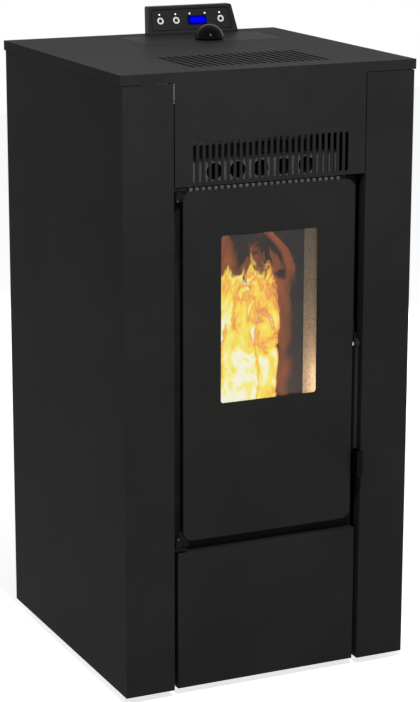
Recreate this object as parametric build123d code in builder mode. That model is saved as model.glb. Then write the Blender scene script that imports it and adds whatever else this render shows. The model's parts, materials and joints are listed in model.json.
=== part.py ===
from build123d import *
import os
from math import asin, cos, pi, radians, sin, tan

os.makedirs("parts", exist_ok=True)

# Free-standing pellet stove. Millimetres, +Z up, front towards -Y, +X to the right of the front.
# The origin lies on the floor, below the middle of the whole object.

# ---------------------------------------------------------------- driving dimensions
# Casing
foot_height = 12.0
foot_radius = 20.0
pad_height = 8.4
foot_inset_x = 50.0
foot_inset_y = 75.0
stud_radius = 4.0
stud_length = 34.0
cabinet_width = 503.2
cabinet_depth = 506.9
cabinet_height = 1000.0
sheet = 1.5
sheet_gap = 0.3
cover_overhang = 3.1
cover_flange = 16.0
cover_hem = 6.0
pillar_return = 20.0
pillar_gap = 1.0
rear_return = 15.0
shelf_flange = 14.0
groove = 1.8
tray_sheet = 2.0
tray_edge = 25.0
tray_setback = 22.0
screw_radius = 2.0
screw_head = 4.0
screw_rows = 4
screw_edge = 1.4

# Door bay, from the floor of the cabinet upwards
lower_panel_height = 231.0
lower_panel_width = 318.6
lower_panel_recess = 3.6
lower_panel_return = 14.0
gap_below_door = 18.5
door_width = 300.6
door_height = 566.0
door_sheet = 3.0
door_corner = 17.0
door_recess = 2.8
gap_above_door = 7.5
bay_gap = 16.7

# Window, glass and seals
window_width = 169.5
window_corner = 5.0
window_rise = 221.5
window_drop = 74.5
glass_margin = 15.0
glass_thickness = 4.0
tape_thickness = 1.0
tape_width = 10.0
pocket_margin = 2.0
clip_length = 24.0
clip_width = 16.0
clip_overlap = 5.0
clip_thickness = 1.5
clip_spread = 105.0
inner_frame_inset = 5.3
inner_frame_thickness = 6.0
inner_frame_corner = 12.0
rope_inset = 15.0
rope_width = 10.0
rope_groove = 3.0
rope_edge = 3.5
seal_gap = 0.3

# Hinges and handle
hinge_pin_radius = 3.0
hinge_lug_radius = 5.5
hinge_offset = 8.2
hinge_setback = 6.0
hinge_leaf = 5.0
hinge_lug_height = 11.5
running_gap = 0.05
lug_gap = 0.5
pin_overhang = 5.0
pin_edge = 2.4
hinge_flange = 15.0
lug_root = 5.0
handle_pivot_rise = 293.5
handle_pivot_setback = 9.5
handle_bar_width = 6.0
handle_bar_depth = 11.0
handle_bar_length = 210.0
handle_top_radius = 8.5
bolt_radius = 2.5
bolt_head_radius = 4.5
shoulder_length = 5.4
bolt_head_height = 2.6
knob_reach = 17.0
knob_width = 13.0
knob_length = 48.0
knob_drop = 199.0
knob_edge = 4.9
keeper_height = 9.0
keeper_plate = 27.0

# Grilles
front_slot_count = 26
front_slot_pitch = 10.56
front_slot_width = 5.7
front_slot_height = 63.0
front_slot_rise = 6.0
top_slot_count = 18
top_slot_pitch = 13.7
top_slot_width = 6.5
top_slot_length = 140.0
top_slot_offset = 5.0
top_slot_setback = 46.4

# Firebox
frame_gap = 0.3
frame_sheet = 3.0
frame_margin = 9.7
frame_drop = 59.5
frame_rise = 1.5
opening_inset = 24.0
frame_corner = 6.0
shell_wall = 3.0
weld_gap = 0.1
firebox_width = 285.0
firebox_depth = 136.4
lining = 6.0
lining_gap = 0.5
baffle_drop = 50.0
baffle_thickness = 5.0
baffle_gap = 22.0
exchanger_width = 276.0
exchanger_height = 41.0
exchanger_setback = 39.0
tube_count = 5
tube_pitch = 40.2
tube_radius = 15.0
tube_wall = 1.5
tube_rise = 20.0
pot_length = 110.0
pot_depth = 90.0
pot_height = 70.0
pot_wall = 6.0
pot_flare = 6.0
pot_setback = 105.0
grate_columns = 5
grate_rows = 4
grate_pitch = 15.0
grate_hole = 3.0
shelf_height = 100.0
shelf_sheet = 3.0
pan_height = 62.0
pan_wall = 1.2
pan_side_gap = 4.0
pan_lip_width = 82.0
pan_lip_rise = 31.0
pan_lip = 2.4
igniter_radius = 6.0
igniter_length = 60.0
igniter_rise = 21.0

# Fuel feed
auger_slope = 35.0
auger_length = 230.0
auger_top_setback = 203.5
auger_top_rise = 323.5
auger_tube_radius = 30.0
auger_tube_wall = 2.0
auger_shaft_radius = 8.0
auger_flight_gap = 2.0
auger_pitch = 40.0
auger_flight_thickness = 2.5
auger_flight_root = 1.0
auger_tip_radius = 4.0
auger_end_gap = 6.0
inlet_start = 40.0
inlet_length = 80.0
inlet_width = 48.0
gearbox_size = 70.0
gearbox_length = 35.0
motor_radius = 30.0
motor_length = 48.0
chute_size = 46.0
chute_wall = 1.5
chute_slope = 45.0
chute_start = 35.0
chute_length = 128.0
hopper_wall = 1.5
hopper_left = 120.0
hopper_right = 200.0
hopper_front_gap = 72.0
hopper_rear_gap = 28.0
hopper_body_height = 220.0
hopper_funnel_height = 190.0
deck_drop = 15.0

# Hopper lid
lid_width = 258.0
lid_depth = 120.0
lid_centre = 69.0
lid_seam = 0.8
lid_rear_seam = 3.0
lid_to_rear = 38.4
lid_skirt = 10.0
lid_skirt_inset = 1.0
mouth_inset = 13.0
collar_drop = 6.0
lid_gasket_width = 6.0
lid_pin_radius = 1.5
lid_knuckle_radius = 3.0
lid_knuckle_length = 30.0
lid_knuckle_spacing = 180.0
lid_ear = 2.0
dome_radius = 24.5
dome_height = 26.0
dome_front_inset = 31.0
dome_foot = 3.0
dome_foot_radius = 19.6

# Smoke and air side
duct_wall = 1.5
duct_margin = 4.5
smoke_duct_left = 34.0
smoke_duct_width = 48.0
smoke_duct_depth = 30.0
smoke_port_height = 30.0
blower_axis_setback = 243.0
blower_axis_height = 170.0
blower_radius = 78.0
blower_width = 50.0
blower_inlet_radius = 32.0
impeller_radius = 64.0
impeller_hub_radius = 14.0
impeller_hub_setback = 12.0
impeller_blades = 8
blade_thickness = 2.0
blower_motor_radius = 38.0
blower_motor_length = 64.0
spindle_radius = 4.0
spindle_length = 20.0
wheel_gap = 6.0
flue_radius = 40.0
flue_wall = 1.5
flue_reach = 45.0
flue_start_setback = 353.0
stop_bead = 3.0
stop_bead_height = 2.0
intake_radius = 25.0
intake_wall = 1.5
intake_offset = 112.0
intake_rise = 78.0
intake_reach = 20.0
fan_wall_gap = 10.1
fan_width = 110.0
fan_radius = 80.0
fan_inlet_radius = 40.0
fan_impeller_radius = 62.0
fan_blades = 16
fan_motor_radius = 34.0
fan_motor_length = 50.0
air_duct_depth = 34.0
header_height = 62.0
header_margin = 14.6

# Control unit
control_left = 1.1
control_right = 172.7
control_side_slope = 6.4
control_height = 46.0
control_lean = 20.0
control_setback = 25.0
control_depth = 16.0
control_wall = 2.5
control_corner = 3.5
face_recess = 2.4
face_margin_bottom = 6.0
face_margin_top = 5.5
face_left = 13.2
face_right = 158.5
face_corner = 3.0
face_groove = 0.8
face_thickness = 1.8
face_taper = 4.5
button_radius = 6.85
button_row = 23.3
button_positions = (27.0, 57.0, 142.0)
button_travel = 0.8
button_proud = 1.4
button_dish_radius = 4.25
button_dish = 0.7
led_radius = 2.0
led_row = 34.5
led_positions = (26.5, 57.0, 84.0, 113.0, 141.0)
led_proud = 0.4
display_left = 78.0
display_right = 115.0
display_low = 14.0
display_high = 31.0
board_depth = 7.0
board_thickness = 1.6
fit = 0.1

# Electrics on the rear and side
inlet_inset = 51.6
inlet_z = 60.0
socket_width = 28.0
socket_height = 48.0
socket_depth = 30.0
socket_flange = 4.0
socket_lip = 2.0
socket_pocket = 15.0
socket_pin_width = 2.0
socket_pin_height = 4.0
earth_pin_rise = 2.0
rocker_width = 12.0
rocker_height = 18.0
rocker_rise = 12.0
rocker_tilt_gap = 1.6
rocker_pocket = 10.0
rocker_crest = 4.5
rocker_valley = 3.0
rocker_low = 2.0
rocker_keel = 5.0
main_board_length = 160.0
main_board_height = 100.0
main_board_z = 520.0
main_board_setback = 330.0
post_inset = 10.0
transformer_width = 40.0
transformer_height = 40.0
transformer_thickness = 25.0
relay_width = 32.0
relay_height = 40.0
relay_thickness = 16.0
standoff_length = 8.0
standoff_radius = 3.0
vent_slot_count = 12
vent_slot_pitch = 10.0
vent_slot_height = 60.0
vent_slot_width = 4.5
magnet_width = 24.0
magnet_height = 16.0
magnet_offset = 110.0
magnet_drop = 13.0
spring_clip_height = 31.0
spring_clip_depth = 10.0
spring_clip_thickness = 1.2

# ---------------------------------------------------------------- places worked out from them
front = knob_reach - (cabinet_depth + knob_reach + flue_reach) / 2
back = front + cabinet_depth
base = foot_height
top = base + cabinet_height
half_width = cabinet_width / 2
inner_half = half_width - sheet
cover_half = half_width + cover_overhang
pillar_top = top - cover_flange - pillar_gap

door_half = door_width / 2
bay_half = door_half + bay_gap
door_bottom = base + lower_panel_height + gap_below_door
door_top = door_bottom + door_height
panel_bottom = door_top + gap_above_door
centre_half = bay_half - groove
plate_front = front + door_recess
plate_back = plate_front + door_sheet
inner_back = plate_back + inner_frame_thickness
rope_front = inner_back - rope_groove
rope_back = rope_front + rope_width
window_x = 0.0
window_height = door_height - window_rise - window_drop
window_z = door_bottom + window_rise + window_height / 2

frame_front = rope_back + frame_gap
frame_back = frame_front + frame_sheet
frame_half = door_half + frame_margin
frame_bottom = door_bottom - frame_drop
frame_top = door_top + frame_rise
opening_half = door_half - opening_inset
opening_bottom = door_bottom + opening_inset
opening_top = door_top - opening_inset

firebox_half = firebox_width / 2
firebox_rear = frame_back + firebox_depth
shell_back = firebox_rear + shell_wall
exchanger_half = exchanger_width / 2
exchanger_front = front + exchanger_setback
exchanger_top = frame_top + exchanger_height
tube_z = frame_top + tube_rise
baffle_z = frame_top - baffle_drop
lining_half = firebox_half - lining_gap
pot_y = front + pot_setback
shelf_z = opening_bottom + shelf_height
pot_top = shelf_z + pot_height

hinge_x = -(door_half + hinge_offset)
hinge_y = front + hinge_setback
handle_z = door_bottom + handle_pivot_rise
handle_y = front + handle_pivot_setback
knob_z = handle_z - knob_drop

auger_top_y = front + auger_top_setback
auger_top_z = door_bottom + auger_top_rise
auger_across = auger_length * cos(radians(auger_slope))
auger_down = auger_length * sin(radians(auger_slope))
auger_line = Plane(
    origin=(0, auger_top_y + auger_across, auger_top_z - auger_down),
    x_dir=(1, 0, 0),
    z_dir=(0, -cos(radians(auger_slope)), sin(radians(auger_slope))),
)
flight_radius = auger_tube_radius - auger_tube_wall - auger_flight_gap

deck_z = top - deck_drop
lid_rear = back - lid_to_rear
lid_front = lid_rear - lid_depth
lid_left = lid_centre - lid_width / 2
lid_right = lid_centre + lid_width / 2
lid_pin_y = lid_rear - lid_knuckle_radius
lid_pin_z = top - sheet - lid_knuckle_radius
collar_top = top - collar_drop
mouth_left = lid_left + mouth_inset
mouth_right = lid_right - mouth_inset
mouth_front = lid_front + mouth_inset
mouth_rear = lid_rear - mouth_inset
dome_y = lid_front + dome_front_inset

blower_y = front + blower_axis_setback
blower_z = base + blower_axis_height
blower_left = smoke_duct_left + smoke_duct_width + sheet_gap
blower_right = blower_left + blower_width
flue_x = (blower_left + blower_right) / 2
flue_z = blower_z - blower_radius + flue_radius
flue_start = front + flue_start_setback
intake_z = opening_bottom + intake_rise
fan_left = -inner_half + fan_wall_gap + fan_motor_length
fan_right = fan_left + fan_width
fan_centre = (fan_left + fan_right) / 2

control_front = back - control_setback
lean = radians(control_lean)
face_plane = Plane(
    origin=(0, control_front, top),
    x_dir=(1, 0, 0),
    z_dir=(0, -cos(lean), sin(lean)),
)
face_length = control_height / cos(lean)
back_panel_back = back - sheet
back_panel_front = back_panel_back - sheet
inlet_x = -half_width + inlet_inset


def block(x, y, z, mode=Mode.ADD):
    """A block between the low and high values given for each axis."""
    with Locations(((x[0] + x[1]) / 2, (y[0] + y[1]) / 2, (z[0] + z[1]) / 2)):
        Box(abs(x[1] - x[0]), abs(y[1] - y[0]), abs(z[1] - z[0]), mode=mode)


def upright(y):
    """The plane facing the front at this y, drawn in x and z."""
    return Plane.XZ.offset(-y)


def spaced(count, pitch):
    """Centres of a row of equal steps about zero."""
    return [(i - (count - 1) / 2) * pitch for i in range(count)]


# ---------------------------------------------------------------- casing
# The base tray is a folded pan that carries everything; its front edge is set back.
tray_half = inner_half - sheet_gap
tray_front = front + tray_setback
tray_back = back_panel_front - sheet_gap
feet_places = [
    (x, y)
    for x in (-half_width + foot_inset_x, half_width - foot_inset_x)
    for y in (front + foot_inset_y, back - foot_inset_y)
]

with BuildPart() as base_tray:
    block((-tray_half, tray_half), (tray_front, tray_back), (base, base + tray_edge))
    block(
        (-tray_half + tray_sheet, tray_half - tray_sheet),
        (tray_front + tray_sheet, tray_back - tray_sheet),
        (base + tray_sheet, base + tray_edge),
        mode=Mode.SUBTRACT,
    )
    with BuildSketch(Plane.XY.offset(base)):
        with Locations(*feet_places):
            Circle(stud_radius + fit)
    extrude(amount=tray_sheet, mode=Mode.SUBTRACT)
base_tray.part.label = "base_tray"
export_step(base_tray.part, "parts/base_tray.step")

# Four feet: a rubber-faced pad, a hexagon collar under the tray and a threaded stud through it.
with BuildPart() as levelling_feet:
    with BuildSketch(Plane.XY):
        with Locations(*feet_places):
            Circle(foot_radius)
    extrude(amount=pad_height)
    with BuildSketch(Plane.XY):
        with Locations(*feet_places):
            RegularPolygon(stud_radius * 2, 6)
    extrude(amount=foot_height)
    with BuildSketch(Plane.XY):
        with Locations(*feet_places):
            Circle(stud_radius)
    extrude(amount=stud_length)
levelling_feet.part.label = "levelling_feet"
export_step(levelling_feet.part, "parts/levelling_feet.step")


def screw_places():
    """Rear screws in x and z, one column up each edge of the back panel."""
    column = inner_half - rear_return / 2
    rise = (pillar_top - base) / screw_rows
    heights = [base + rise * (i + 0.5) for i in range(screw_rows)]
    return [(x, z) for x in (-column, column) for z in heights]


def side_sheet(side):
    """One folded side: wall, front pillar with its inner return, rear return and top flange."""
    outer = side * half_width
    inner = side * inner_half
    bay = side * bay_half
    block((inner, outer), (front, back), (base, pillar_top))
    block((inner, outer), (front + pillar_return, back - pillar_return), (pillar_top, top - sheet))
    block((bay, outer), (front, front + sheet), (base, pillar_top))
    block((bay, bay + side * sheet), (front, front + pillar_return), (base, pillar_top))
    block((inner - side * rear_return, outer), (back - sheet, back), (base, pillar_top))
    block(
        (inner - side * shelf_flange, outer),
        (front + pillar_return, back - pillar_return),
        (top - 2 * sheet, top - sheet),
    )
    with BuildSketch(upright(back), mode=Mode.PRIVATE) as screw_holes:
        with Locations(*[p for p in screw_places() if p[0] * side > 0]):
            Circle(screw_radius + fit)
    extrude(screw_holes.sketch, amount=sheet, mode=Mode.SUBTRACT)


with BuildPart() as left_side_panel:
    side_sheet(-1)
left_side_panel.part.label = "left_side_panel"
export_step(left_side_panel.part, "parts/left_side_panel.step")

with BuildPart() as right_side_panel:
    side_sheet(1)
right_side_panel.part.label = "right_side_panel"
export_step(right_side_panel.part, "parts/right_side_panel.step")

# The back panel has holes for the flue, the air intake and the mains inlet, and fan vents.
panel_half = inner_half - sheet_gap
socket_place = (inlet_x, base + inlet_z)
with BuildPart() as back_panel:
    block((-panel_half, panel_half), (back_panel_front, back_panel_back), (base, top - 2 * sheet - sheet_gap))
    with BuildSketch(upright(back_panel_back)):
        with Locations((flue_x, flue_z)):
            Circle(flue_radius + fit)
        with Locations((intake_offset, intake_z)):
            Circle(intake_radius + fit)
        with Locations(socket_place):
            Rectangle(socket_width + fit, socket_height + fit)
        with Locations(*[(fan_centre + x, blower_z) for x in spaced(vent_slot_count, vent_slot_pitch)]):
            SlotOverall(vent_slot_height, vent_slot_width, rotation=90)
        with Locations(*screw_places()):
            Circle(screw_radius + fit)
    extrude(amount=sheet, mode=Mode.SUBTRACT)
back_panel.part.label = "back_panel"
export_step(back_panel.part, "parts/back_panel.step")

# Eight pan-head screws hold the back panel to the side returns.
with BuildPart() as casing_screws:
    with BuildSketch(upright(back)):
        with Locations(*screw_places()):
            Circle(screw_radius)
    extrude(amount=3 * sheet)
    with BuildSketch(upright(back + screw_radius)):
        with Locations(*screw_places()):
            Circle(screw_head)
    extrude(amount=screw_radius)
    fillet(casing_screws.edges().group_by(Axis.Y)[-1], screw_edge)
casing_screws.part.label = "casing_screws"
export_step(casing_screws.part, "parts/casing_screws.step")

# The top cover and the upper front panel are one folded sheet with both grilles in it.
slot_z = panel_bottom + front_slot_rise + front_slot_height / 2
slot_y = front + top_slot_setback + top_slot_length / 2
with BuildPart() as top_cover:
    block((-cover_half, cover_half), (front, back), (top - cover_flange, top))
    block(
        (-cover_half + sheet, cover_half - sheet),
        (front + sheet, back - sheet),
        (top - cover_flange, top - sheet),
        mode=Mode.SUBTRACT,
    )
    block((-centre_half, centre_half), (front, front + sheet), (panel_bottom, top - sheet))
    block(
        (-centre_half, centre_half),
        (front, front + cover_hem),
        (panel_bottom, panel_bottom + sheet),
    )
    for side in (-1, 1):
        block(
            (side * (centre_half - sheet), side * centre_half),
            (front, front + lower_panel_return),
            (panel_bottom, top - sheet),
        )
    with BuildSketch(upright(front + sheet)):
        with Locations(*[(x, slot_z) for x in spaced(front_slot_count, front_slot_pitch)]):
            SlotOverall(front_slot_height, front_slot_width, rotation=90)
    extrude(amount=sheet, mode=Mode.SUBTRACT)
    with BuildSketch(Plane.XY.offset(top - sheet)):
        with Locations(*[(top_slot_offset + x, slot_y) for x in spaced(top_slot_count, top_slot_pitch)]):
            SlotOverall(top_slot_length, top_slot_width, rotation=90)
    extrude(amount=sheet, mode=Mode.SUBTRACT)
    block(
        (lid_left - lid_seam, lid_right + lid_seam),
        (lid_front - lid_seam, lid_rear + lid_rear_seam),
        (top - sheet, top),
        mode=Mode.SUBTRACT,
    )
top_cover.part.label = "top_cover"
export_step(top_cover.part, "parts/top_cover.step")

# A bright spring clip grips the top of the left groove.
clip_right = -centre_half - (groove - spring_clip_thickness) / 2
with BuildPart() as spring_clip:
    block(
        (clip_right - spring_clip_thickness, clip_right),
        (front + sheet_gap, front + spring_clip_depth),
        (pillar_top - spring_clip_height, pillar_top),
    )
spring_clip.part.label = "spring_clip"
export_step(spring_clip.part, "parts/spring_clip.step")

# ---------------------------------------------------------------- firebox
# The frame plate carries the hinges and the keeper, and the rope seal closes on its face.
with BuildPart() as front_frame:
    block((-frame_half, frame_half), (frame_front, frame_back), (frame_bottom, frame_top))
    block(
        (-opening_half, opening_half),
        (frame_front, frame_back),
        (opening_bottom, opening_top),
        mode=Mode.SUBTRACT,
    )
    fillet(front_frame.edges().filter_by(Axis.Y).group_by(SortBy.DISTANCE)[0], frame_corner)
front_frame.part.label = "front_frame"
export_step(front_frame.part, "parts/front_frame.step")

# Chute direction, from the auger's outlet down through the firebox back.
chute_dir = (-cos(radians(chute_slope)), -sin(radians(chute_slope)))
chute_up = (-chute_dir[1], chute_dir[0])
chute_from = (
    auger_top_y + chute_start * cos(radians(auger_slope)),
    auger_top_z - chute_start * sin(radians(auger_slope)),
)


def chute_outline(width, start, end):
    """Corners of a straight run of the chute in y and z, with the given width."""
    corners = []
    for along, across in ((start, -width), (end, -width), (end, width), (start, width)):
        corners.append(
            (
                chute_from[0] + along * chute_dir[0] + across * chute_up[0] / 2,
                chute_from[1] + along * chute_dir[1] + across * chute_up[1] / 2,
            )
        )
    return corners


def chute_cut(clearance):
    """Cut the chute's passage out of a wall, with a clearance round it."""
    with BuildSketch(Plane.YZ, mode=Mode.PRIVATE) as passage:
        Polygon(*chute_outline(chute_size + 2 * clearance, 0, chute_length + chute_size), align=None)
    extrude(passage.sketch, amount=chute_size / 2 + clearance, both=True, mode=Mode.SUBTRACT)


smoke_port_z = frame_top - shell_wall - smoke_port_height / 2
smoke_port_x = smoke_duct_left + smoke_duct_width / 2
igniter_z = shelf_z + igniter_rise
shell_half = firebox_half + shell_wall
shell_top = frame_top - shell_wall
walls_z = (opening_bottom + weld_gap, shell_top - weld_gap)
box_z = (frame_top + weld_gap, exchanger_top)
box_y = (exchanger_front + shell_wall + weld_gap, firebox_rear - weld_gap)
box_inner = exchanger_half - shell_wall

# The firebox is welded from plates: floor, back, two sides and top, with a smaller box for the tubes.
with BuildPart() as firebox_shell:
    block((-shell_half, shell_half), (frame_back, shell_back), (opening_bottom - shell_wall, opening_bottom))
    block((-shell_half, shell_half), (firebox_rear, shell_back), walls_z)
    for side in (-1, 1):
        block((side * firebox_half, side * shell_half), (frame_back, firebox_rear - weld_gap), walls_z)
    block((-shell_half, shell_half), (frame_back, shell_back), (shell_top, frame_top))
    block(
        (-box_inner, box_inner),
        (exchanger_front + shell_wall, firebox_rear),
        (shell_top, frame_top),
        mode=Mode.SUBTRACT,
    )
    block((-exchanger_half, exchanger_half), (exchanger_front, exchanger_front + shell_wall), box_z)
    block((-exchanger_half, exchanger_half), (firebox_rear, shell_back), box_z)
    for side in (-1, 1):
        block((side * box_inner, side * exchanger_half), box_y, box_z)
    block(
        (-box_inner + weld_gap, box_inner - weld_gap),
        box_y,
        (exchanger_top - shell_wall, exchanger_top),
    )
    with BuildSketch(upright(shell_back)):
        with Locations(*[(x, tube_z) for x in spaced(tube_count, tube_pitch)]):
            Circle(tube_radius)
    extrude(amount=shell_back - exchanger_front, mode=Mode.SUBTRACT)
    with BuildSketch(upright(shell_back)):
        with Locations((smoke_port_x, smoke_port_z)):
            Rectangle(smoke_duct_width - 2 * duct_wall, smoke_port_height)
        with Locations((intake_offset, intake_z)):
            Circle(intake_radius + fit)
        with Locations((0, igniter_z)):
            Circle(igniter_radius + fit)
    extrude(amount=shell_wall, mode=Mode.SUBTRACT)
    chute_cut(fit)
firebox_shell.part.label = "firebox_shell"
export_step(firebox_shell.part, "parts/firebox_shell.step")

# Five steel tubes carry room air through the hot gas above the fire.
with BuildPart() as exchanger_tubes:
    with BuildSketch(upright(shell_back)):
        with Locations(*[(x, tube_z) for x in spaced(tube_count, tube_pitch)]):
            Circle(tube_radius)
            Circle(tube_radius - tube_wall, mode=Mode.SUBTRACT)
    extrude(amount=shell_back - exchanger_front)
exchanger_tubes.part.label = "exchanger_tubes"
export_step(exchanger_tubes.part, "parts/exchanger_tubes.step")

# Vermiculite boards line the two sides and the back.
lining_front = frame_back + lining_gap
lining_back = firebox_rear - lining_gap
board_front = lining_back - lining
with BuildPart() as firebox_lining:
    block((-lining_half, lining_half), (board_front, lining_back), (opening_bottom, baffle_z))
    with BuildSketch(upright(lining_back)):
        with Locations((intake_offset, intake_z)):
            Circle(intake_radius + fit)
        with Locations((0, igniter_z)):
            Circle(igniter_radius + fit)
    extrude(amount=lining, mode=Mode.SUBTRACT)
    chute_cut(fit)
    for side in (-1, 1):
        block(
            (side * (lining_half - lining), side * lining_half),
            (lining_front, board_front - lining_gap),
            (opening_bottom, baffle_z),
        )
firebox_lining.part.label = "firebox_lining"
export_step(firebox_lining.part, "parts/firebox_lining.step")

# The baffle lies on the lining's top edges and leaves a gap at the front for the smoke.
with BuildPart() as flame_baffle:
    block(
        (-lining_half, lining_half),
        (frame_back + baffle_gap, lining_back),
        (baffle_z, baffle_z + baffle_thickness),
    )
flame_baffle.part.label = "flame_baffle"
export_step(flame_baffle.part, "parts/flame_baffle.step")

# The pot shelf is a bent plate that stands on the firebox floor over the ash pan.
shelf_half = lining_half - lining - lining_gap
with BuildPart() as pot_shelf:
    block((-shelf_half, shelf_half), (lining_front, board_front - lining_gap), (opening_bottom, shelf_z))
    block(
        (-shelf_half + shelf_sheet, shelf_half - shelf_sheet),
        (lining_front, board_front - lining_gap),
        (opening_bottom, shelf_z - shelf_sheet),
        mode=Mode.SUBTRACT,
    )
    block(
        (-pot_length / 2 + pot_wall, pot_length / 2 - pot_wall),
        (pot_y - pot_depth / 2 + pot_wall, pot_y + pot_depth / 2 - pot_wall),
        (shelf_z - shelf_sheet, shelf_z),
        mode=Mode.SUBTRACT,
    )
pot_shelf.part.label = "pot_shelf"
export_step(pot_shelf.part, "parts/pot_shelf.step")

# The burn pot is a cast basket with a drilled bottom, wider at its rim.
with BuildPart() as burn_pot:
    with BuildSketch(Plane.XY.offset(shelf_z)):
        with Locations((0, pot_y)):
            Rectangle(pot_length - 2 * pot_flare, pot_depth - 2 * pot_flare)
    with BuildSketch(Plane.XY.offset(pot_top)):
        with Locations((0, pot_y)):
            Rectangle(pot_length, pot_depth)
    loft()
    with BuildSketch(Plane.XY.offset(shelf_z + pot_wall)):
        with Locations((0, pot_y)):
            Rectangle(pot_length - 2 * pot_flare - 2 * pot_wall, pot_depth - 2 * pot_flare - 2 * pot_wall)
    with BuildSketch(Plane.XY.offset(pot_top)):
        with Locations((0, pot_y)):
            Rectangle(pot_length - 2 * pot_wall, pot_depth - 2 * pot_wall)
    loft(mode=Mode.SUBTRACT)
    with BuildSketch(Plane.XY.offset(shelf_z)):
        with Locations((0, pot_y)):
            with GridLocations(grate_pitch, grate_pitch, grate_columns, grate_rows):
                Circle(grate_hole)
    extrude(amount=pot_wall, mode=Mode.SUBTRACT)
    with BuildSketch(upright(pot_y + pot_depth / 2)):
        with Locations((0, igniter_z)):
            Circle(igniter_radius + fit)
    extrude(amount=pot_depth / 2, mode=Mode.SUBTRACT)
burn_pot.part.label = "burn_pot"
export_step(burn_pot.part, "parts/burn_pot.step")

# The ash pan slides on the firebox floor under the shelf, with a finger lip at its front.
pan_half = min(opening_half, shelf_half - shelf_sheet) - pan_side_gap
pan_front = lining_front + pan_side_gap
pan_back = board_front - pan_side_gap
with BuildPart() as ash_pan:
    block((-pan_half, pan_half), (pan_front, pan_back), (opening_bottom, opening_bottom + pan_height))
    block(
        (-pan_half + pan_wall, pan_half - pan_wall),
        (pan_front + pan_wall, pan_back - pan_wall),
        (opening_bottom + pan_wall, opening_bottom + pan_height),
        mode=Mode.SUBTRACT,
    )
    block(
        (-pan_lip_width / 2, pan_lip_width / 2),
        (frame_front, pan_front),
        (opening_bottom + pan_lip_rise, opening_bottom + pan_lip_rise + pan_lip),
    )
ash_pan.part.label = "ash_pan"
export_step(ash_pan.part, "parts/ash_pan.step")

# The igniter is a heating cartridge that passes through the back into the pot's rear hole.
igniter_front = pot_y + pot_depth / 2 - pot_wall
with BuildPart() as igniter:
    with BuildSketch(upright(shell_back + igniter_length)):
        with Locations((0, igniter_z)):
            Circle(igniter_radius)
    extrude(amount=shell_back + igniter_length - igniter_front)
igniter.part.label = "igniter"
export_step(igniter.part, "parts/igniter.step")

# ---------------------------------------------------------------- fuel feed
# The auger tube climbs to the front; pellets enter through its top and leave through its underside.
with BuildPart() as auger_tube:
    with BuildSketch(auger_line):
        Circle(auger_tube_radius)
    extrude(amount=auger_length)
    with BuildSketch(auger_line):
        Circle(auger_tube_radius - auger_tube_wall)
    extrude(amount=auger_length - auger_tube_wall, mode=Mode.SUBTRACT)
    with BuildSketch(auger_line.offset(auger_length - auger_tube_wall)):
        Circle(auger_tip_radius + running_gap)
    extrude(amount=auger_tube_wall, mode=Mode.SUBTRACT)
    with BuildSketch(auger_line.offset(inlet_start)):
        with Locations((0, auger_tube_radius / 2)):
            Rectangle(inlet_width, auger_tube_radius)
    extrude(amount=inlet_length, mode=Mode.SUBTRACT)
    with BuildSketch(Plane.YZ):
        Polygon(*chute_outline(chute_size - 2 * chute_wall, 0, chute_size * 2), align=None)
    extrude(amount=chute_size / 2 - chute_wall, both=True, mode=Mode.SUBTRACT)
auger_tube.part.label = "auger_tube"
export_step(auger_tube.part, "parts/auger_tube.step")

# The screw: a shaft with one helical flight, its tip in the tube's end and its tail in the gearbox.
flight_length = auger_length - auger_tube_wall - 2 * auger_end_gap
with BuildPart() as auger_screw:
    with BuildSketch(auger_line.offset(-gearbox_length)):
        Circle(auger_shaft_radius)
    extrude(amount=gearbox_length + auger_end_gap + flight_length)
    with BuildSketch(auger_line.offset(auger_end_gap + flight_length)):
        Circle(auger_tip_radius)
    extrude(amount=auger_length - auger_end_gap - flight_length)
    flight_base = auger_line.offset(auger_end_gap).origin
    flight_mid = (flight_radius + auger_shaft_radius - auger_flight_root) / 2
    with BuildLine() as flight_line:
        Helix(auger_pitch, flight_length, flight_mid, center=flight_base, direction=auger_line.z_dir)
    flight_start = flight_line.line @ 0
    with BuildSketch(Plane(flight_start, x_dir=flight_start - flight_base, z_dir=flight_line.line % 0)):
        Rectangle(2 * (flight_radius - flight_mid), auger_flight_thickness)
    sweep(path=flight_line.line, is_frenet=True)
auger_screw.part.label = "auger_screw"
export_step(auger_screw.part, "parts/auger_screw.step")

# The gearmotor closes the tube's lower end.
with BuildPart() as auger_gearmotor:
    with BuildSketch(auger_line):
        RectangleRounded(gearbox_size, gearbox_size, auger_tip_radius)
    extrude(amount=-gearbox_length)
    with BuildSketch(auger_line.offset(-gearbox_length)):
        Circle(motor_radius)
    extrude(amount=-motor_length)
    with BuildSketch(auger_line):
        Circle(auger_shaft_radius + running_gap)
    extrude(amount=-gearbox_length, mode=Mode.SUBTRACT)
auger_gearmotor.part.label = "auger_gearmotor"
export_step(auger_gearmotor.part, "parts/auger_gearmotor.step")

# The chute drops pellets from the auger's outlet into the pot.
with BuildPart() as pellet_chute:
    with BuildSketch(Plane.YZ):
        Polygon(*chute_outline(chute_size, 0, chute_length), align=None)
    extrude(amount=chute_size / 2, both=True)
    with BuildSketch(Plane.YZ):
        bore = chute_outline(chute_size - 2 * chute_wall, -chute_size, chute_length + chute_size)
        Polygon(*bore, align=None)
    extrude(amount=chute_size / 2 - chute_wall, both=True, mode=Mode.SUBTRACT)
    with BuildSketch(auger_line.offset(-chute_size)):
        Circle(auger_tube_radius)
    extrude(amount=auger_length + 2 * chute_size, mode=Mode.SUBTRACT)
pellet_chute.part.label = "pellet_chute"
export_step(pellet_chute.part, "parts/pellet_chute.step")

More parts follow.
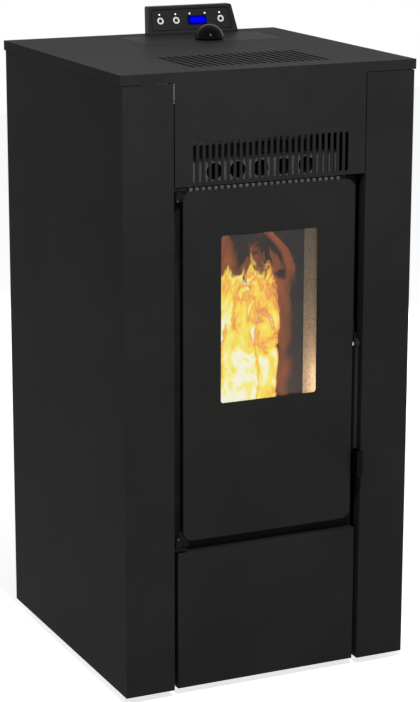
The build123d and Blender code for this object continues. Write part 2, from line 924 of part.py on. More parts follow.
# The hopper: a deck between the side panels, a body, a funnel and a neck saddled on the auger tube.
hopper_front = shell_back + hopper_front_gap
hopper_back = back_panel_front - hopper_rear_gap
hopper_bottom = deck_z - hopper_body_height
neck_top = hopper_bottom - hopper_funnel_height
inlet_across = (inlet_start + inlet_length / 2) * cos(radians(auger_slope))
neck_y = auger_top_y + auger_across - inlet_across
neck_depth = inlet_length * cos(radians(auger_slope)) - 2 * hopper_wall
neck_width = inlet_width
neck_bottom = auger_top_z - auger_down


def level_area(z, x, y, inset):
    """A level rectangle between two x and two y values, drawn in by a wall thickness."""
    with BuildSketch(Plane.XY.offset(z), mode=Mode.PRIVATE) as level:
        with Locations(((x[0] + x[1]) / 2, (y[0] + y[1]) / 2)):
            Rectangle(x[1] - x[0] - 2 * inset, y[1] - y[0] - 2 * inset)
    return level.sketch


mouth_x = (mouth_left, mouth_right)
mouth_y = (mouth_front, mouth_rear)
body_x = (-hopper_left, hopper_right)
body_y = (hopper_front, hopper_back)
neck_x = (-neck_width / 2, neck_width / 2)
neck_span = (neck_y - neck_depth / 2, neck_y + neck_depth / 2)
lid_ear_radius = lid_knuckle_radius - sheet_gap
with BuildPart() as hopper:
    block((-tray_half, tray_half), (hopper_front, hopper_back), (deck_z, deck_z + hopper_wall))
    block(body_x, body_y, (hopper_bottom, deck_z))
    loft([level_area(neck_top, neck_x, neck_span, 0), level_area(hopper_bottom, body_x, body_y, 0)])
    extrude(level_area(neck_bottom, neck_x, neck_span, 0), amount=neck_top - neck_bottom)
    extrude(level_area(deck_z, mouth_x, mouth_y, 0), amount=collar_top - deck_z)
    block(
        (body_x[0] + hopper_wall, body_x[1] - hopper_wall),
        (body_y[0] + hopper_wall, body_y[1] - hopper_wall),
        (hopper_bottom, deck_z),
        mode=Mode.SUBTRACT,
    )
    loft(
        [
            level_area(neck_top, neck_x, neck_span, hopper_wall),
            level_area(hopper_bottom, body_x, body_y, hopper_wall),
        ],
        mode=Mode.SUBTRACT,
    )
    neck_bore = level_area(neck_bottom, neck_x, neck_span, hopper_wall)
    extrude(neck_bore, amount=neck_top - neck_bottom, mode=Mode.SUBTRACT)
    mouth = level_area(deck_z, mouth_x, mouth_y, hopper_wall)
    extrude(mouth, amount=collar_top - deck_z, mode=Mode.SUBTRACT)
    with BuildSketch(auger_line.offset(-chute_size)):
        Circle(auger_tube_radius)
        with Locations((0, -2 * auger_tube_radius)):
            Rectangle(4 * auger_tube_radius, 4 * auger_tube_radius)
    extrude(amount=auger_length + 2 * chute_size, mode=Mode.SUBTRACT)
    for place in spaced(2, lid_knuckle_spacing):
        for side in (-1, 1):
            ear = lid_centre + place + side * (lid_knuckle_length / 2 + lug_gap + lid_ear / 2)
            with BuildSketch(Plane.YZ.offset(ear - lid_ear / 2)):
                with Locations((lid_pin_y, lid_pin_z)):
                    Circle(lid_ear_radius)
                with Locations((lid_pin_y, (deck_z + lid_pin_z) / 2)):
                    Rectangle(2 * lid_ear_radius, lid_pin_z - deck_z)
            extrude(amount=lid_ear)
    with BuildSketch(Plane.YZ.offset(lid_left)):
        with Locations((lid_pin_y, lid_pin_z)):
            Circle(lid_pin_radius)
    extrude(amount=lid_width, mode=Mode.SUBTRACT)
hopper.part.label = "hopper"
export_step(hopper.part, "parts/hopper.step")

# ---------------------------------------------------------------- hopper lid
# The lid lies flush in the top cover and turns on two pins under its rear edge.
lid_under = top - sheet
with BuildPart() as hopper_lid:
    block((lid_left, lid_right), (lid_front, lid_rear), (lid_under, top))
    block(
        (lid_left + lid_skirt_inset, lid_right - lid_skirt_inset),
        (lid_front + lid_skirt_inset, mouth_rear + lid_gasket_width),
        (lid_under - lid_skirt + sheet, lid_under),
    )
    block(
        (lid_left + lid_skirt_inset + sheet, lid_right - lid_skirt_inset - sheet),
        (lid_front + lid_skirt_inset + sheet, mouth_rear + lid_gasket_width),
        (lid_under - lid_skirt + sheet, lid_under),
        mode=Mode.SUBTRACT,
    )
    for place in spaced(2, lid_knuckle_spacing):
        with BuildSketch(Plane.YZ.offset(lid_centre + place - lid_knuckle_length / 2)):
            with Locations((lid_pin_y, lid_pin_z)):
                Circle(lid_knuckle_radius)
            with Locations((lid_pin_y + lid_knuckle_radius / 2, lid_pin_z + lid_knuckle_radius / 2)):
                Rectangle(lid_knuckle_radius, lid_knuckle_radius)
        extrude(amount=lid_knuckle_length)
        with BuildSketch(Plane.YZ.offset(lid_centre + place - lid_knuckle_length / 2)):
            with Locations((lid_pin_y, lid_pin_z)):
                Circle(lid_pin_radius + running_gap)
        extrude(amount=lid_knuckle_length, mode=Mode.SUBTRACT)
hopper_lid.part.label = "hopper_lid"
export_step(hopper_lid.part, "parts/hopper_lid.step")

# A soft seal under the lid closes on the hopper's collar.
with BuildPart() as lid_gasket:
    with BuildSketch(Plane.XY.offset(collar_top + seal_gap)):
        with Locations(((mouth_left + mouth_right) / 2, (mouth_front + mouth_rear) / 2)):
            Rectangle(
                mouth_right - mouth_left + lid_gasket_width - hopper_wall,
                mouth_rear - mouth_front + lid_gasket_width - hopper_wall,
            )
            Rectangle(
                mouth_right - mouth_left - lid_gasket_width - hopper_wall,
                mouth_rear - mouth_front - lid_gasket_width - hopper_wall,
                mode=Mode.SUBTRACT,
            )
    extrude(amount=lid_under - collar_top - seal_gap)
lid_gasket.part.label = "lid_gasket"
export_step(lid_gasket.part, "parts/lid_gasket.step")

# The lid's knob is a low glossy dome on a short foot.
dome_rise = dome_height - dome_foot
ball = (dome_radius**2 + dome_rise**2) / (2 * dome_rise)
ball_centre = top + dome_height - ball
dome_mid = (asin((top + dome_foot - ball_centre) / ball) + pi / 2) / 2
with BuildPart() as lid_knob:
    with BuildSketch(Plane.XZ.offset(-dome_y)):
        with BuildLine():
            dome_arc = ThreePointArc(
                (lid_centre + dome_radius, top + dome_foot),
                (lid_centre + ball * cos(dome_mid), ball_centre + ball * sin(dome_mid)),
                (lid_centre, top + dome_height),
            )
            Polyline(
                dome_arc @ 1,
                (lid_centre, top),
                (lid_centre + dome_foot_radius, top),
                dome_arc @ 0,
            )
        make_face()
    revolve(axis=Axis((lid_centre, dome_y, top), (0, 0, 1)))
lid_knob.part.label = "lid_knob"
export_step(lid_knob.part, "parts/lid_knob.step")

# ---------------------------------------------------------------- smoke side
# The smoke duct leaves the firebox under the tubes, runs down and turns back to the blower's inlet.
duct_x = (smoke_duct_left, smoke_duct_left + smoke_duct_width)
duct_y = (shell_back, shell_back + smoke_duct_depth)
duct_top = smoke_port_z + smoke_port_height / 2 + duct_wall
duct_low = blower_z - blower_inlet_radius - duct_margin
duct_end = blower_y + blower_inlet_radius + duct_margin
duct_turn = blower_z + blower_inlet_radius + duct_margin
with BuildPart() as smoke_duct:
    block(duct_x, duct_y, (duct_low, duct_top))
    block(duct_x, (shell_back, duct_end), (duct_low, duct_turn))
    inner_x = (duct_x[0] + duct_wall, duct_x[1] - duct_wall)
    block(
        inner_x,
        (duct_y[0] + duct_wall, duct_y[1] - duct_wall),
        (duct_low + duct_wall, duct_top - duct_wall),
        mode=Mode.SUBTRACT,
    )
    block(
        inner_x,
        (shell_back + duct_wall, duct_end - duct_wall),
        (duct_low + duct_wall, duct_turn - duct_wall),
        mode=Mode.SUBTRACT,
    )
    block(
        inner_x,
        (shell_back, shell_back + duct_wall),
        (smoke_port_z - smoke_port_height / 2, smoke_port_z + smoke_port_height / 2),
        mode=Mode.SUBTRACT,
    )
    with BuildSketch(Plane.YZ.offset(duct_x[1])):
        with Locations((blower_y, blower_z)):
            Circle(blower_inlet_radius)
    extrude(amount=-duct_wall, mode=Mode.SUBTRACT)
smoke_duct.part.label = "smoke_duct"
export_step(smoke_duct.part, "parts/smoke_duct.step")

# The exhaust blower's round housing ends in a straight square outlet towards the flue.
volute_y = (blower_y, flue_start)
volute_z = (flue_z - flue_radius, flue_z + flue_radius)
with BuildPart() as exhaust_housing:
    with BuildSketch(Plane.YZ.offset(blower_left)):
        with Locations((blower_y, blower_z)):
            Circle(blower_radius)
    extrude(amount=blower_width)
    block((blower_left, blower_right), volute_y, volute_z)
    block(
        (flue_x - flue_radius, flue_x + flue_radius),
        (flue_start - duct_wall, flue_start),
        volute_z,
    )
    with BuildSketch(Plane.YZ.offset(blower_left + duct_wall)):
        with Locations((blower_y, blower_z)):
            Circle(blower_radius - duct_wall)
    extrude(amount=blower_width - 2 * duct_wall, mode=Mode.SUBTRACT)
    block(
        (blower_left + duct_wall, blower_right - duct_wall),
        volute_y,
        (volute_z[0] + duct_wall, volute_z[1] - duct_wall),
        mode=Mode.SUBTRACT,
    )
    with BuildSketch(Plane.YZ.offset(blower_left)):
        with Locations((blower_y, blower_z)):
            Circle(blower_inlet_radius)
    extrude(amount=duct_wall, mode=Mode.SUBTRACT)
    with BuildSketch(Plane.YZ.offset(blower_right)):
        with Locations((blower_y, blower_z)):
            Circle(spindle_radius + running_gap)
    extrude(amount=-duct_wall, mode=Mode.SUBTRACT)
exhaust_housing.part.label = "exhaust_housing"
export_step(exhaust_housing.part, "parts/exhaust_housing.step")


def bladed_wheel(x_low, x_high, y, z, radius, blades, spindle_end):
    """A hub, back disc and straight blades round the X axis, on a spindle that reaches the motor."""
    inward = -1 if x_high > x_low else 1
    hub = Plane(origin=(x_high, y, z), x_dir=(0, 1, 0), z_dir=(inward, 0, 0))
    width = abs(x_high - x_low)
    with BuildSketch(hub, mode=Mode.PRIVATE) as disc:
        Circle(radius)
    extrude(disc.sketch, amount=blade_thickness)
    with BuildSketch(hub, mode=Mode.PRIVATE) as boss:
        Circle(impeller_hub_radius)
    extrude(boss.sketch, amount=width - impeller_hub_setback)
    with BuildSketch(hub.offset(blade_thickness), mode=Mode.PRIVATE) as vanes:
        with PolarLocations((radius + impeller_hub_radius) / 2, blades):
            Rectangle(radius - impeller_hub_radius + blade_thickness, blade_thickness)
    extrude(vanes.sketch, amount=width - blade_thickness)
    with BuildSketch(hub, mode=Mode.PRIVATE) as spindle:
        Circle(spindle_radius)
    extrude(spindle.sketch, amount=-abs(spindle_end - x_high))


def motor_body(x_low, y, z, radius, length, bore_length):
    """A can motor on the X axis with a blind bore for the spindle."""
    with BuildSketch(Plane.YZ.offset(x_low), mode=Mode.PRIVATE) as can:
        with Locations((y, z)):
            Circle(radius)
    extrude(can.sketch, amount=length)
    with BuildSketch(Plane.YZ.offset(x_low), mode=Mode.PRIVATE) as bore:
        with Locations((y, z)):
            Circle(spindle_radius + running_gap)
    extrude(bore.sketch, amount=bore_length, mode=Mode.SUBTRACT)


with BuildPart() as exhaust_impeller:
    bladed_wheel(
        blower_left + wheel_gap,
        blower_right - wheel_gap,
        blower_y,
        blower_z,
        impeller_radius,
        impeller_blades,
        blower_right + spindle_length,
    )
exhaust_impeller.part.label = "exhaust_impeller"
export_step(exhaust_impeller.part, "parts/exhaust_impeller.step")

with BuildPart() as exhaust_motor:
    motor_bore = spindle_length + fit
    motor_body(blower_right, blower_y, blower_z, blower_motor_radius, blower_motor_length, motor_bore)
exhaust_motor.part.label = "exhaust_motor"
export_step(exhaust_motor.part, "parts/exhaust_motor.step")

# The flue outlet is a straight 80 mm spigot through the back panel, with a stop bead outside it.
with BuildPart() as flue_outlet:
    with BuildSketch(upright(back + flue_reach)):
        with Locations((flue_x, flue_z)):
            Circle(flue_radius)
            Circle(flue_radius - flue_wall, mode=Mode.SUBTRACT)
    extrude(amount=back + flue_reach - flue_start)
    with BuildSketch(upright(back_panel_back + stop_bead)):
        with Locations((flue_x, flue_z)):
            Circle(flue_radius + stop_bead_height)
            Circle(flue_radius - flue_wall, mode=Mode.SUBTRACT)
    extrude(amount=stop_bead)
flue_outlet.part.label = "flue_outlet"
export_step(flue_outlet.part, "parts/flue_outlet.step")

# The combustion air intake is a 50 mm tube from the rear into the space round the ash pan.
# It has the same stop bead.
with BuildPart() as air_intake:
    with BuildSketch(upright(back + intake_reach)):
        with Locations((intake_offset, intake_z)):
            Circle(intake_radius)
            Circle(intake_radius - intake_wall, mode=Mode.SUBTRACT)
    extrude(amount=back + intake_reach - board_front)
    with BuildSketch(upright(back_panel_back + stop_bead)):
        with Locations((intake_offset, intake_z)):
            Circle(intake_radius + stop_bead_height)
            Circle(intake_radius - intake_wall, mode=Mode.SUBTRACT)
    extrude(amount=stop_bead)
air_intake.part.label = "air_intake"
export_step(air_intake.part, "parts/air_intake.step")

# ---------------------------------------------------------------- convection side
# The convection fan draws room air in through its side and blows it up the air duct.
fan_top = blower_z + fan_radius + duct_wall
fan_outlet = (shell_back + sheet_gap, shell_back + sheet_gap + air_duct_depth)
fan_y = fan_outlet[0] + fan_radius
with BuildPart() as fan_housing:
    with BuildSketch(Plane.YZ.offset(fan_left)):
        with Locations((fan_y, blower_z)):
            Circle(fan_radius)
    extrude(amount=fan_width)
    block((fan_left, fan_right), fan_outlet, (blower_z, fan_top))
    with BuildSketch(Plane.YZ.offset(fan_left + duct_wall)):
        with Locations((fan_y, blower_z)):
            Circle(fan_radius - duct_wall)
    extrude(amount=fan_width - 2 * duct_wall, mode=Mode.SUBTRACT)
    block(
        (fan_left + duct_wall, fan_right - duct_wall),
        (fan_outlet[0] + duct_wall, fan_outlet[1] - duct_wall),
        (blower_z, fan_top),
        mode=Mode.SUBTRACT,
    )
    with BuildSketch(Plane.YZ.offset(fan_left)):
        with Locations((fan_y, blower_z)):
            Circle(spindle_radius + running_gap)
    extrude(amount=duct_wall, mode=Mode.SUBTRACT)
    with BuildSketch(Plane.YZ.offset(fan_right)):
        with Locations((fan_y, blower_z)):
            Circle(fan_inlet_radius)
    extrude(amount=-duct_wall, mode=Mode.SUBTRACT)
fan_housing.part.label = "fan_housing"
export_step(fan_housing.part, "parts/fan_housing.step")

with BuildPart() as fan_impeller:
    bladed_wheel(
        fan_right - wheel_gap,
        fan_left + wheel_gap,
        fan_y,
        blower_z,
        fan_impeller_radius,
        fan_blades,
        fan_left - spindle_length,
    )
fan_impeller.part.label = "fan_impeller"
export_step(fan_impeller.part, "parts/fan_impeller.step")

with BuildPart() as fan_motor:
    motor_body(fan_left, fan_y, blower_z, fan_motor_radius, -fan_motor_length, -motor_bore)
fan_motor.part.label = "fan_motor"
export_step(fan_motor.part, "parts/fan_motor.step")

# The air duct rises behind the firebox to a header over the rear ends of the tubes.
header_z = (tube_z - tube_radius - duct_wall, tube_z - tube_radius - duct_wall + header_height)
header_x = (fan_left, (tube_count - 1) / 2 * tube_pitch + tube_radius + header_margin)
air_x = (fan_left, fan_right)
with BuildPart() as air_duct:
    block(air_x, fan_outlet, (fan_top, header_z[1]))
    block(header_x, fan_outlet, header_z)
    block(
        (air_x[0] + duct_wall, air_x[1] - duct_wall),
        (fan_outlet[0] + duct_wall, fan_outlet[1] - duct_wall),
        (fan_top, header_z[1] - duct_wall),
        mode=Mode.SUBTRACT,
    )
    block(
        (header_x[0] + duct_wall, header_x[1] - duct_wall),
        (fan_outlet[0] + duct_wall, fan_outlet[1] - duct_wall),
        (header_z[0] + duct_wall, header_z[1] - duct_wall),
        mode=Mode.SUBTRACT,
    )
    with BuildSketch(upright(fan_outlet[0] + duct_wall)):
        with Locations(*[(x, tube_z) for x in spaced(tube_count, tube_pitch)]):
            Circle(tube_radius - tube_wall)
    extrude(amount=duct_wall, mode=Mode.SUBTRACT)
air_duct.part.label = "air_duct"
export_step(air_duct.part, "parts/air_duct.step")

# ---------------------------------------------------------------- door
# The door's front plate, 3 mm steel with rounded corners and the window opening.
door_z = (door_bottom + door_top) / 2
with BuildPart() as door_panel:
    with BuildSketch(upright(plate_back)):
        with Locations((0, door_z)):
            RectangleRounded(door_width, door_height, door_corner)
        with Locations((window_x, window_z)):
            RectangleRounded(window_width, window_height, window_corner, mode=Mode.SUBTRACT)
    extrude(amount=door_sheet)
door_panel.part.label = "door_panel"
export_step(door_panel.part, "parts/door_panel.step")

glass_width = window_width + 2 * glass_margin
glass_height = window_height + 2 * glass_margin
rope_width_out = door_width - 2 * rope_inset + rope_width
rope_height_out = door_height - 2 * rope_inset + rope_width
rope_corner = inner_frame_corner + rope_width / 2


def rope_ring():
    """The flat ring that the rope seal fills, drawn in x and z."""
    with Locations((0, door_z)):
        RectangleRounded(rope_width_out, rope_height_out, rope_corner)
        RectangleRounded(
            rope_width_out - 2 * rope_width,
            rope_height_out - 2 * rope_width,
            rope_corner - rope_width,
            mode=Mode.SUBTRACT,
        )


top_lug = (door_top + frame_rise - lug_gap - hinge_lug_height, door_top + frame_rise - lug_gap)
low_lug = (door_bottom - gap_below_door / 2, door_bottom - gap_below_door / 2 + hinge_lug_height)
frame_left = -(door_half - inner_frame_inset)
handle_lug = (door_half - inner_frame_inset - door_sheet, door_half - sheet_gap)

# The inner frame backs the plate, holds the glass and the rope seal, and carries the hinge lugs.
with BuildPart() as door_inner_frame:
    with BuildSketch(upright(inner_back)):
        with Locations((0, door_z)):
            RectangleRounded(
                door_width - 2 * inner_frame_inset,
                door_height - 2 * inner_frame_inset,
                inner_frame_corner,
            )
        with Locations((window_x, window_z)):
            Rectangle(glass_width + 2 * pocket_margin, glass_height + 2 * pocket_margin, mode=Mode.SUBTRACT)
    extrude(amount=inner_frame_thickness)
    with BuildSketch(upright(inner_back)):
        rope_ring()
    extrude(amount=rope_groove, mode=Mode.SUBTRACT)
    for lug in (top_lug, low_lug):
        block(
            (hinge_x, frame_left + lug_root),
            (plate_back, inner_back - rope_groove),
            (min(lug[0], door_top - rope_inset), max(lug[1], door_bottom + rope_inset)),
        )
    for lug in (top_lug, low_lug):
        block(
            (hinge_x - hinge_lug_radius, hinge_x + hinge_lug_radius),
            (plate_back, inner_back),
            (lug[1], door_top + rope_inset) if lug == top_lug else (door_bottom - rope_inset * 2, lug[0]),
            mode=Mode.SUBTRACT,
        )
        with BuildSketch(Plane.XY.offset(lug[0])):
            with Locations((hinge_x, hinge_y)):
                Circle(hinge_lug_radius)
        extrude(amount=hinge_lug_height)
        with BuildSketch(Plane.XY.offset(lug[0] - rope_inset)):
            with Locations((hinge_x, hinge_y)):
                Circle(hinge_pin_radius + running_gap)
        extrude(amount=hinge_lug_height + 2 * rope_inset, mode=Mode.SUBTRACT)
    block(
        handle_lug,
        (plate_back, inner_back + door_sheet),
        (handle_z - handle_top_radius, handle_z + handle_top_radius),
    )
    with BuildSketch(Plane.YZ.offset(handle_lug[0])):
        with Locations((handle_y, handle_z)):
            Circle(bolt_radius)
    extrude(amount=handle_lug[1] - handle_lug[0], mode=Mode.SUBTRACT)
door_inner_frame.part.label = "door_inner_frame"
export_step(door_inner_frame.part, "parts/door_inner_frame.step")

# Flat woven tape seals the glass against the plate.
with BuildPart() as glass_gasket:
    with BuildSketch(upright(plate_back + tape_thickness)):
        with Locations((window_x, window_z)):
            Rectangle(glass_width, glass_height)
            Rectangle(glass_width - 2 * tape_width, glass_height - 2 * tape_width, mode=Mode.SUBTRACT)
    extrude(amount=tape_thickness)
glass_gasket.part.label = "glass_gasket"
export_step(glass_gasket.part, "parts/glass_gasket.step")

glass_front = plate_back + tape_thickness
glass_back = glass_front + glass_thickness
with BuildPart() as door_glass:
    block(
        (window_x - glass_width / 2, window_x + glass_width / 2),
        (glass_front, glass_back),
        (window_z - glass_height / 2, window_z + glass_height / 2),
    )
door_glass.part.label = "door_glass"
export_step(door_glass.part, "parts/door_glass.step")

# Six clips screwed to the inner frame press the glass on its tape.
clip_places = [(side, window_z + rise) for side in (-1, 1) for rise in (-clip_spread, 0, clip_spread)]
with BuildPart() as glass_clips:
    for side, height in clip_places:
        edge = window_x + side * glass_width / 2
        block(
            (edge - side * clip_overlap, edge + side * (clip_width - clip_overlap)),
            (inner_back, inner_back + clip_thickness),
            (height - clip_length / 2, height + clip_length / 2),
        )
        block(
            (edge - side * clip_overlap, edge - side * fit),
            (glass_back, inner_back),
            (height - clip_length / 2, height + clip_length / 2),
        )
glass_clips.part.label = "glass_clips"
export_step(glass_clips.part, "parts/glass_clips.step")

# A glass-fibre rope lies in the inner frame's groove and closes on the firebox frame.
with BuildPart() as door_gasket:
    with BuildSketch(upright(rope_back)):
        rope_ring()
    extrude(amount=rope_width)
    fillet(door_gasket.faces().sort_by(Axis.Y)[-1].edges(), rope_edge)
door_gasket.part.label = "door_gasket"
export_step(door_gasket.part, "parts/door_gasket.step")

# Two brackets on the firebox frame, each a leaf with the pin's hole and a flange behind the gap.
top_leaf = (top_lug[1] + lug_gap, top_lug[1] + lug_gap + hinge_leaf)
low_leaf = (low_lug[0] - lug_gap - hinge_leaf, low_lug[0] - lug_gap)
leaf_x = (-bay_half + sheet_gap, frame_left)
leaf_y = (front + sheet, frame_front)
flange_x = (-frame_half, hinge_x + hinge_offset + inner_frame_inset)
with BuildPart() as hinge_brackets:
    top_flange = (top_leaf[0] - hinge_flange, top_leaf[1])
    low_flange = (low_leaf[0], low_leaf[1] + hinge_flange)
    for leaf, flange in ((top_leaf, top_flange), (low_leaf, low_flange)):
        block(leaf_x, leaf_y, leaf)
        block(flange_x, (frame_front - frame_sheet, frame_front), flange)
        with BuildSketch(Plane.XY.offset(leaf[0])):
            with Locations((hinge_x, hinge_y)):
                Circle(hinge_pin_radius)
        extrude(amount=hinge_leaf, mode=Mode.SUBTRACT)
hinge_brackets.part.label = "hinge_brackets"
export_step(hinge_brackets.part, "parts/hinge_brackets.step")

# Two steel pins for the door and two thinner ones for the lid, held in the hopper's ears.
lid_pin_reach = lid_knuckle_length / 2 + lug_gap + lid_ear + lug_gap
with BuildPart() as hinge_pins:
    with BuildSketch(Plane.XY.offset(top_lug[0] - pin_overhang)):
        with Locations((hinge_x, hinge_y)):
            Circle(hinge_pin_radius)
    extrude(amount=top_leaf[1] - top_lug[0] + pin_overhang)
    with BuildSketch(Plane.XY.offset(low_leaf[0])):
        with Locations((hinge_x, hinge_y)):
            Circle(hinge_pin_radius)
    extrude(amount=low_lug[1] - low_leaf[0] + pin_overhang)
    fillet(hinge_pins.edges().filter_by(GeomType.CIRCLE).group_by(Axis.Z)[1], pin_edge)
    for place in spaced(2, lid_knuckle_spacing):
        with BuildSketch(Plane.YZ.offset(lid_centre + place - lid_pin_reach)):
            with Locations((lid_pin_y, lid_pin_z)):
                Circle(lid_pin_radius)
        extrude(amount=2 * lid_pin_reach)
hinge_pins.part.label = "hinge_pins"
export_step(hinge_pins.part, "parts/hinge_pins.step")

# ---------------------------------------------------------------- door handle
lever_left = door_half + shoulder_length
lever_right = lever_left + handle_bar_width
lever_front = handle_y - handle_bar_depth / 2
lever_back = handle_y + handle_bar_depth / 2
lever_bottom = handle_z - handle_bar_length
with BuildPart() as handle_lever:
    block((lever_left, lever_right), (lever_front, lever_back), (lever_bottom, handle_z))
    with BuildSketch(Plane.YZ.offset(lever_left)):
        with Locations((handle_y, handle_z)):
            Circle(handle_top_radius)
    extrude(amount=handle_bar_width)
    with BuildSketch(Plane.YZ.offset(lever_left)):
        with Locations((handle_y, handle_z)):
            Circle(bolt_radius + running_gap)
    extrude(amount=handle_bar_width, mode=Mode.SUBTRACT)
    with BuildSketch(upright(lever_back)):
        with Locations(((lever_left + lever_right) / 2, knob_z)):
            Circle(bolt_radius)
    extrude(amount=handle_bar_depth, mode=Mode.SUBTRACT)
handle_lever.part.label = "handle_lever"
export_step(handle_lever.part, "parts/handle_lever.step")

# The knob is an oval black grip with a stud through the lever.
with BuildPart() as handle_knob:
    with BuildSketch(upright(lever_front)):
        with Locations(((lever_left + lever_right) / 2, knob_z)):
            SlotOverall(knob_length, knob_width, rotation=90)
    extrude(amount=lever_front - front + knob_reach)
    fillet(handle_knob.faces().sort_by(Axis.Y)[0].edges(), knob_edge)
    with BuildSketch(upright(lever_back)):
        with Locations(((lever_left + lever_right) / 2, knob_z)):
            Circle(bolt_radius)
    extrude(amount=handle_bar_depth)
handle_knob.part.label = "handle_knob"
export_step(handle_knob.part, "parts/handle_knob.step")

# The pivot bolt: shank through the lug and the lever, a shoulder between them and a round head.
with BuildPart() as handle_bolt:
    with BuildSketch(Plane.YZ.offset(handle_lug[0])):
        with Locations((handle_y, handle_z)):
            Circle(bolt_radius)
    extrude(amount=lever_right + bolt_head_height - handle_lug[0])
    with BuildSketch(Plane.YZ.offset(door_half + fit)):
        with Locations((handle_y, handle_z)):
            Circle(bolt_head_radius)
    extrude(amount=lever_left - door_half - 2 * fit)
    with BuildSketch(Plane.YZ.offset(lever_right + fit)):
        with Locations((handle_y, handle_z)):
            Circle(bolt_head_radius)
    extrude(amount=bolt_head_height)
handle_bolt.part.label = "handle_bolt"
export_step(handle_bolt.part, "parts/handle_bolt.step")

# The keeper stands on the firebox frame just above the lever's cam.
keeper_low = handle_z + handle_top_radius + lug_gap
with BuildPart() as door_keeper:
    block((lever_left, frame_half), (handle_y - sheet, frame_front), (keeper_low, keeper_low + keeper_height))
    block(
        (door_half, frame_half),
        (frame_front - door_sheet, frame_front),
        (keeper_low, keeper_low + keeper_plate),
    )
door_keeper.part.label = "door_keeper"
export_step(door_keeper.part, "parts/door_keeper.step")

# ---------------------------------------------------------------- lower panel
lower_half = lower_panel_width / 2
lower_front = front + lower_panel_recess
with BuildPart() as lower_front_panel:
    block(
        (-lower_half, lower_half),
        (lower_front, lower_front + lower_panel_return),
        (base, base + lower_panel_height),
    )
    block(
        (-lower_half + sheet, lower_half - sheet),
        (lower_front + sheet, lower_front + lower_panel_return),
        (base + sheet, base + lower_panel_height - sheet),
        mode=Mode.SUBTRACT,
    )
lower_front_panel.part.label = "lower_front_panel"
export_step(lower_front_panel.part, "parts/lower_front_panel.step")

magnet_top = base + lower_panel_height - sheet - magnet_drop
with BuildPart() as panel_magnets:
    for side in (-1, 1):
        block(
            (side * magnet_offset - magnet_width / 2, side * magnet_offset + magnet_width / 2),
            (lower_front + sheet + seal_gap, frame_front),
            (magnet_top - magnet_height, magnet_top),
        )
panel_magnets.part.label = "panel_magnets"
export_step(panel_magnets.part, "parts/panel_magnets.step")

# ---------------------------------------------------------------- control unit
# The housing is a slab that leans back and tapers upwards, with rounded top corners.
housing_outline = (
    (control_left, top),
    (control_right, top),
    (control_right - control_side_slope, top + control_height),
    (control_left + control_side_slope, top + control_height),
)
lean_back = control_height * tan(lean)
with BuildPart() as control_housing:
    with BuildSketch(upright(control_front + control_depth + lean_back)) as housing_sketch:
        Polygon(*housing_outline, align=None)
        fillet(housing_sketch.vertices().group_by(Axis.Y)[-1], control_corner)
    extrude(amount=control_depth + lean_back)
    with BuildSketch(Plane.YZ.offset(control_left)):
        Polygon(
            (control_front, top),
            (control_front + control_depth, top),
            (control_front + control_depth + lean_back, top + control_height),
            (control_front + lean_back, top + control_height),
            align=None,
        )
    extrude(amount=control_right - control_left, mode=Mode.INTERSECT)
    with BuildSketch(face_plane) as face_sketch:
        Polygon(
            (face_left - face_taper, face_margin_bottom),
            (face_right + face_taper, face_margin_bottom),
            (face_right, face_length - face_margin_top),
            (face_left, face_length - face_margin_top),
            align=None,
        )
        fillet(face_sketch.vertices(), face_corner)
    extrude(amount=-face_recess, mode=Mode.SUBTRACT)
    with BuildSketch(face_plane.offset(-face_recess)):
        Polygon(
            (face_left, face_margin_bottom + control_wall),
            (face_right, face_margin_bottom + control_wall),
            (face_right - face_taper, face_length - face_margin_top - control_wall),
            (face_left + face_taper, face_length - face_margin_top - control_wall),
            align=None,
        )
    extrude(amount=-(board_depth - face_recess), mode=Mode.SUBTRACT)
control_housing.part.label = "control_housing"
export_step(control_housing.part, "parts/control_housing.step")

with BuildPart() as control_face:
    with BuildSketch(face_plane.offset(-face_recess)) as plate_sketch:
        Polygon(
            (face_left - face_taper + face_groove, face_margin_bottom + face_groove),
            (face_right + face_taper - face_groove, face_margin_bottom + face_groove),
            (face_right - face_groove, face_length - face_margin_top - face_groove),
            (face_left + face_groove, face_length - face_margin_top - face_groove),
            align=None,
        )
        fillet(plate_sketch.vertices(), face_corner - face_groove)
        with Locations(*[(x, button_row) for x in button_positions]):
            Circle(button_radius + fit, mode=Mode.SUBTRACT)
        with Locations(*[(x, led_row) for x in led_positions]):
            Circle(led_radius + fit, mode=Mode.SUBTRACT)
        with Locations(((display_left + display_right) / 2, (display_low + display_high) / 2)):
            Rectangle(display_right - display_left, display_high - display_low, mode=Mode.SUBTRACT)
    extrude(amount=face_thickness)
control_face.part.label = "control_face"
export_step(control_face.part, "parts/control_face.step")

with BuildPart() as display_window:
    with BuildSketch(face_plane.offset(-board_depth + board_thickness)):
        with Locations(((display_left + display_right) / 2, (display_low + display_high) / 2)):
            Rectangle(display_right - display_left - fit, display_high - display_low - fit)
    extrude(amount=board_depth - board_thickness - face_recess + face_thickness)
display_window.part.label = "display_window"
export_step(display_window.part, "parts/display_window.step")

with BuildPart() as indicator_lights:
    with BuildSketch(face_plane.offset(-board_depth + board_thickness)):
        with Locations(*[(x, led_row) for x in led_positions]):
            Circle(led_radius)
    extrude(amount=board_depth - board_thickness - face_recess + face_thickness + led_proud)
indicator_lights.part.label = "indicator_lights"
export_step(indicator_lights.part, "parts/indicator_lights.step")

with BuildPart() as control_board:
    with BuildSketch(face_plane.offset(-board_depth)):
        Polygon(
            (face_left + fit, face_margin_bottom + control_wall + fit),
            (face_right - fit, face_margin_bottom + control_wall + fit),
            (face_right - face_taper - fit, face_length - face_margin_top - control_wall - fit),
            (face_left + face_taper + fit, face_length - face_margin_top - control_wall - fit),
            align=None,
        )
    extrude(amount=board_thickness)
control_board.part.label = "control_board"
export_step(control_board.part, "parts/control_board.step")


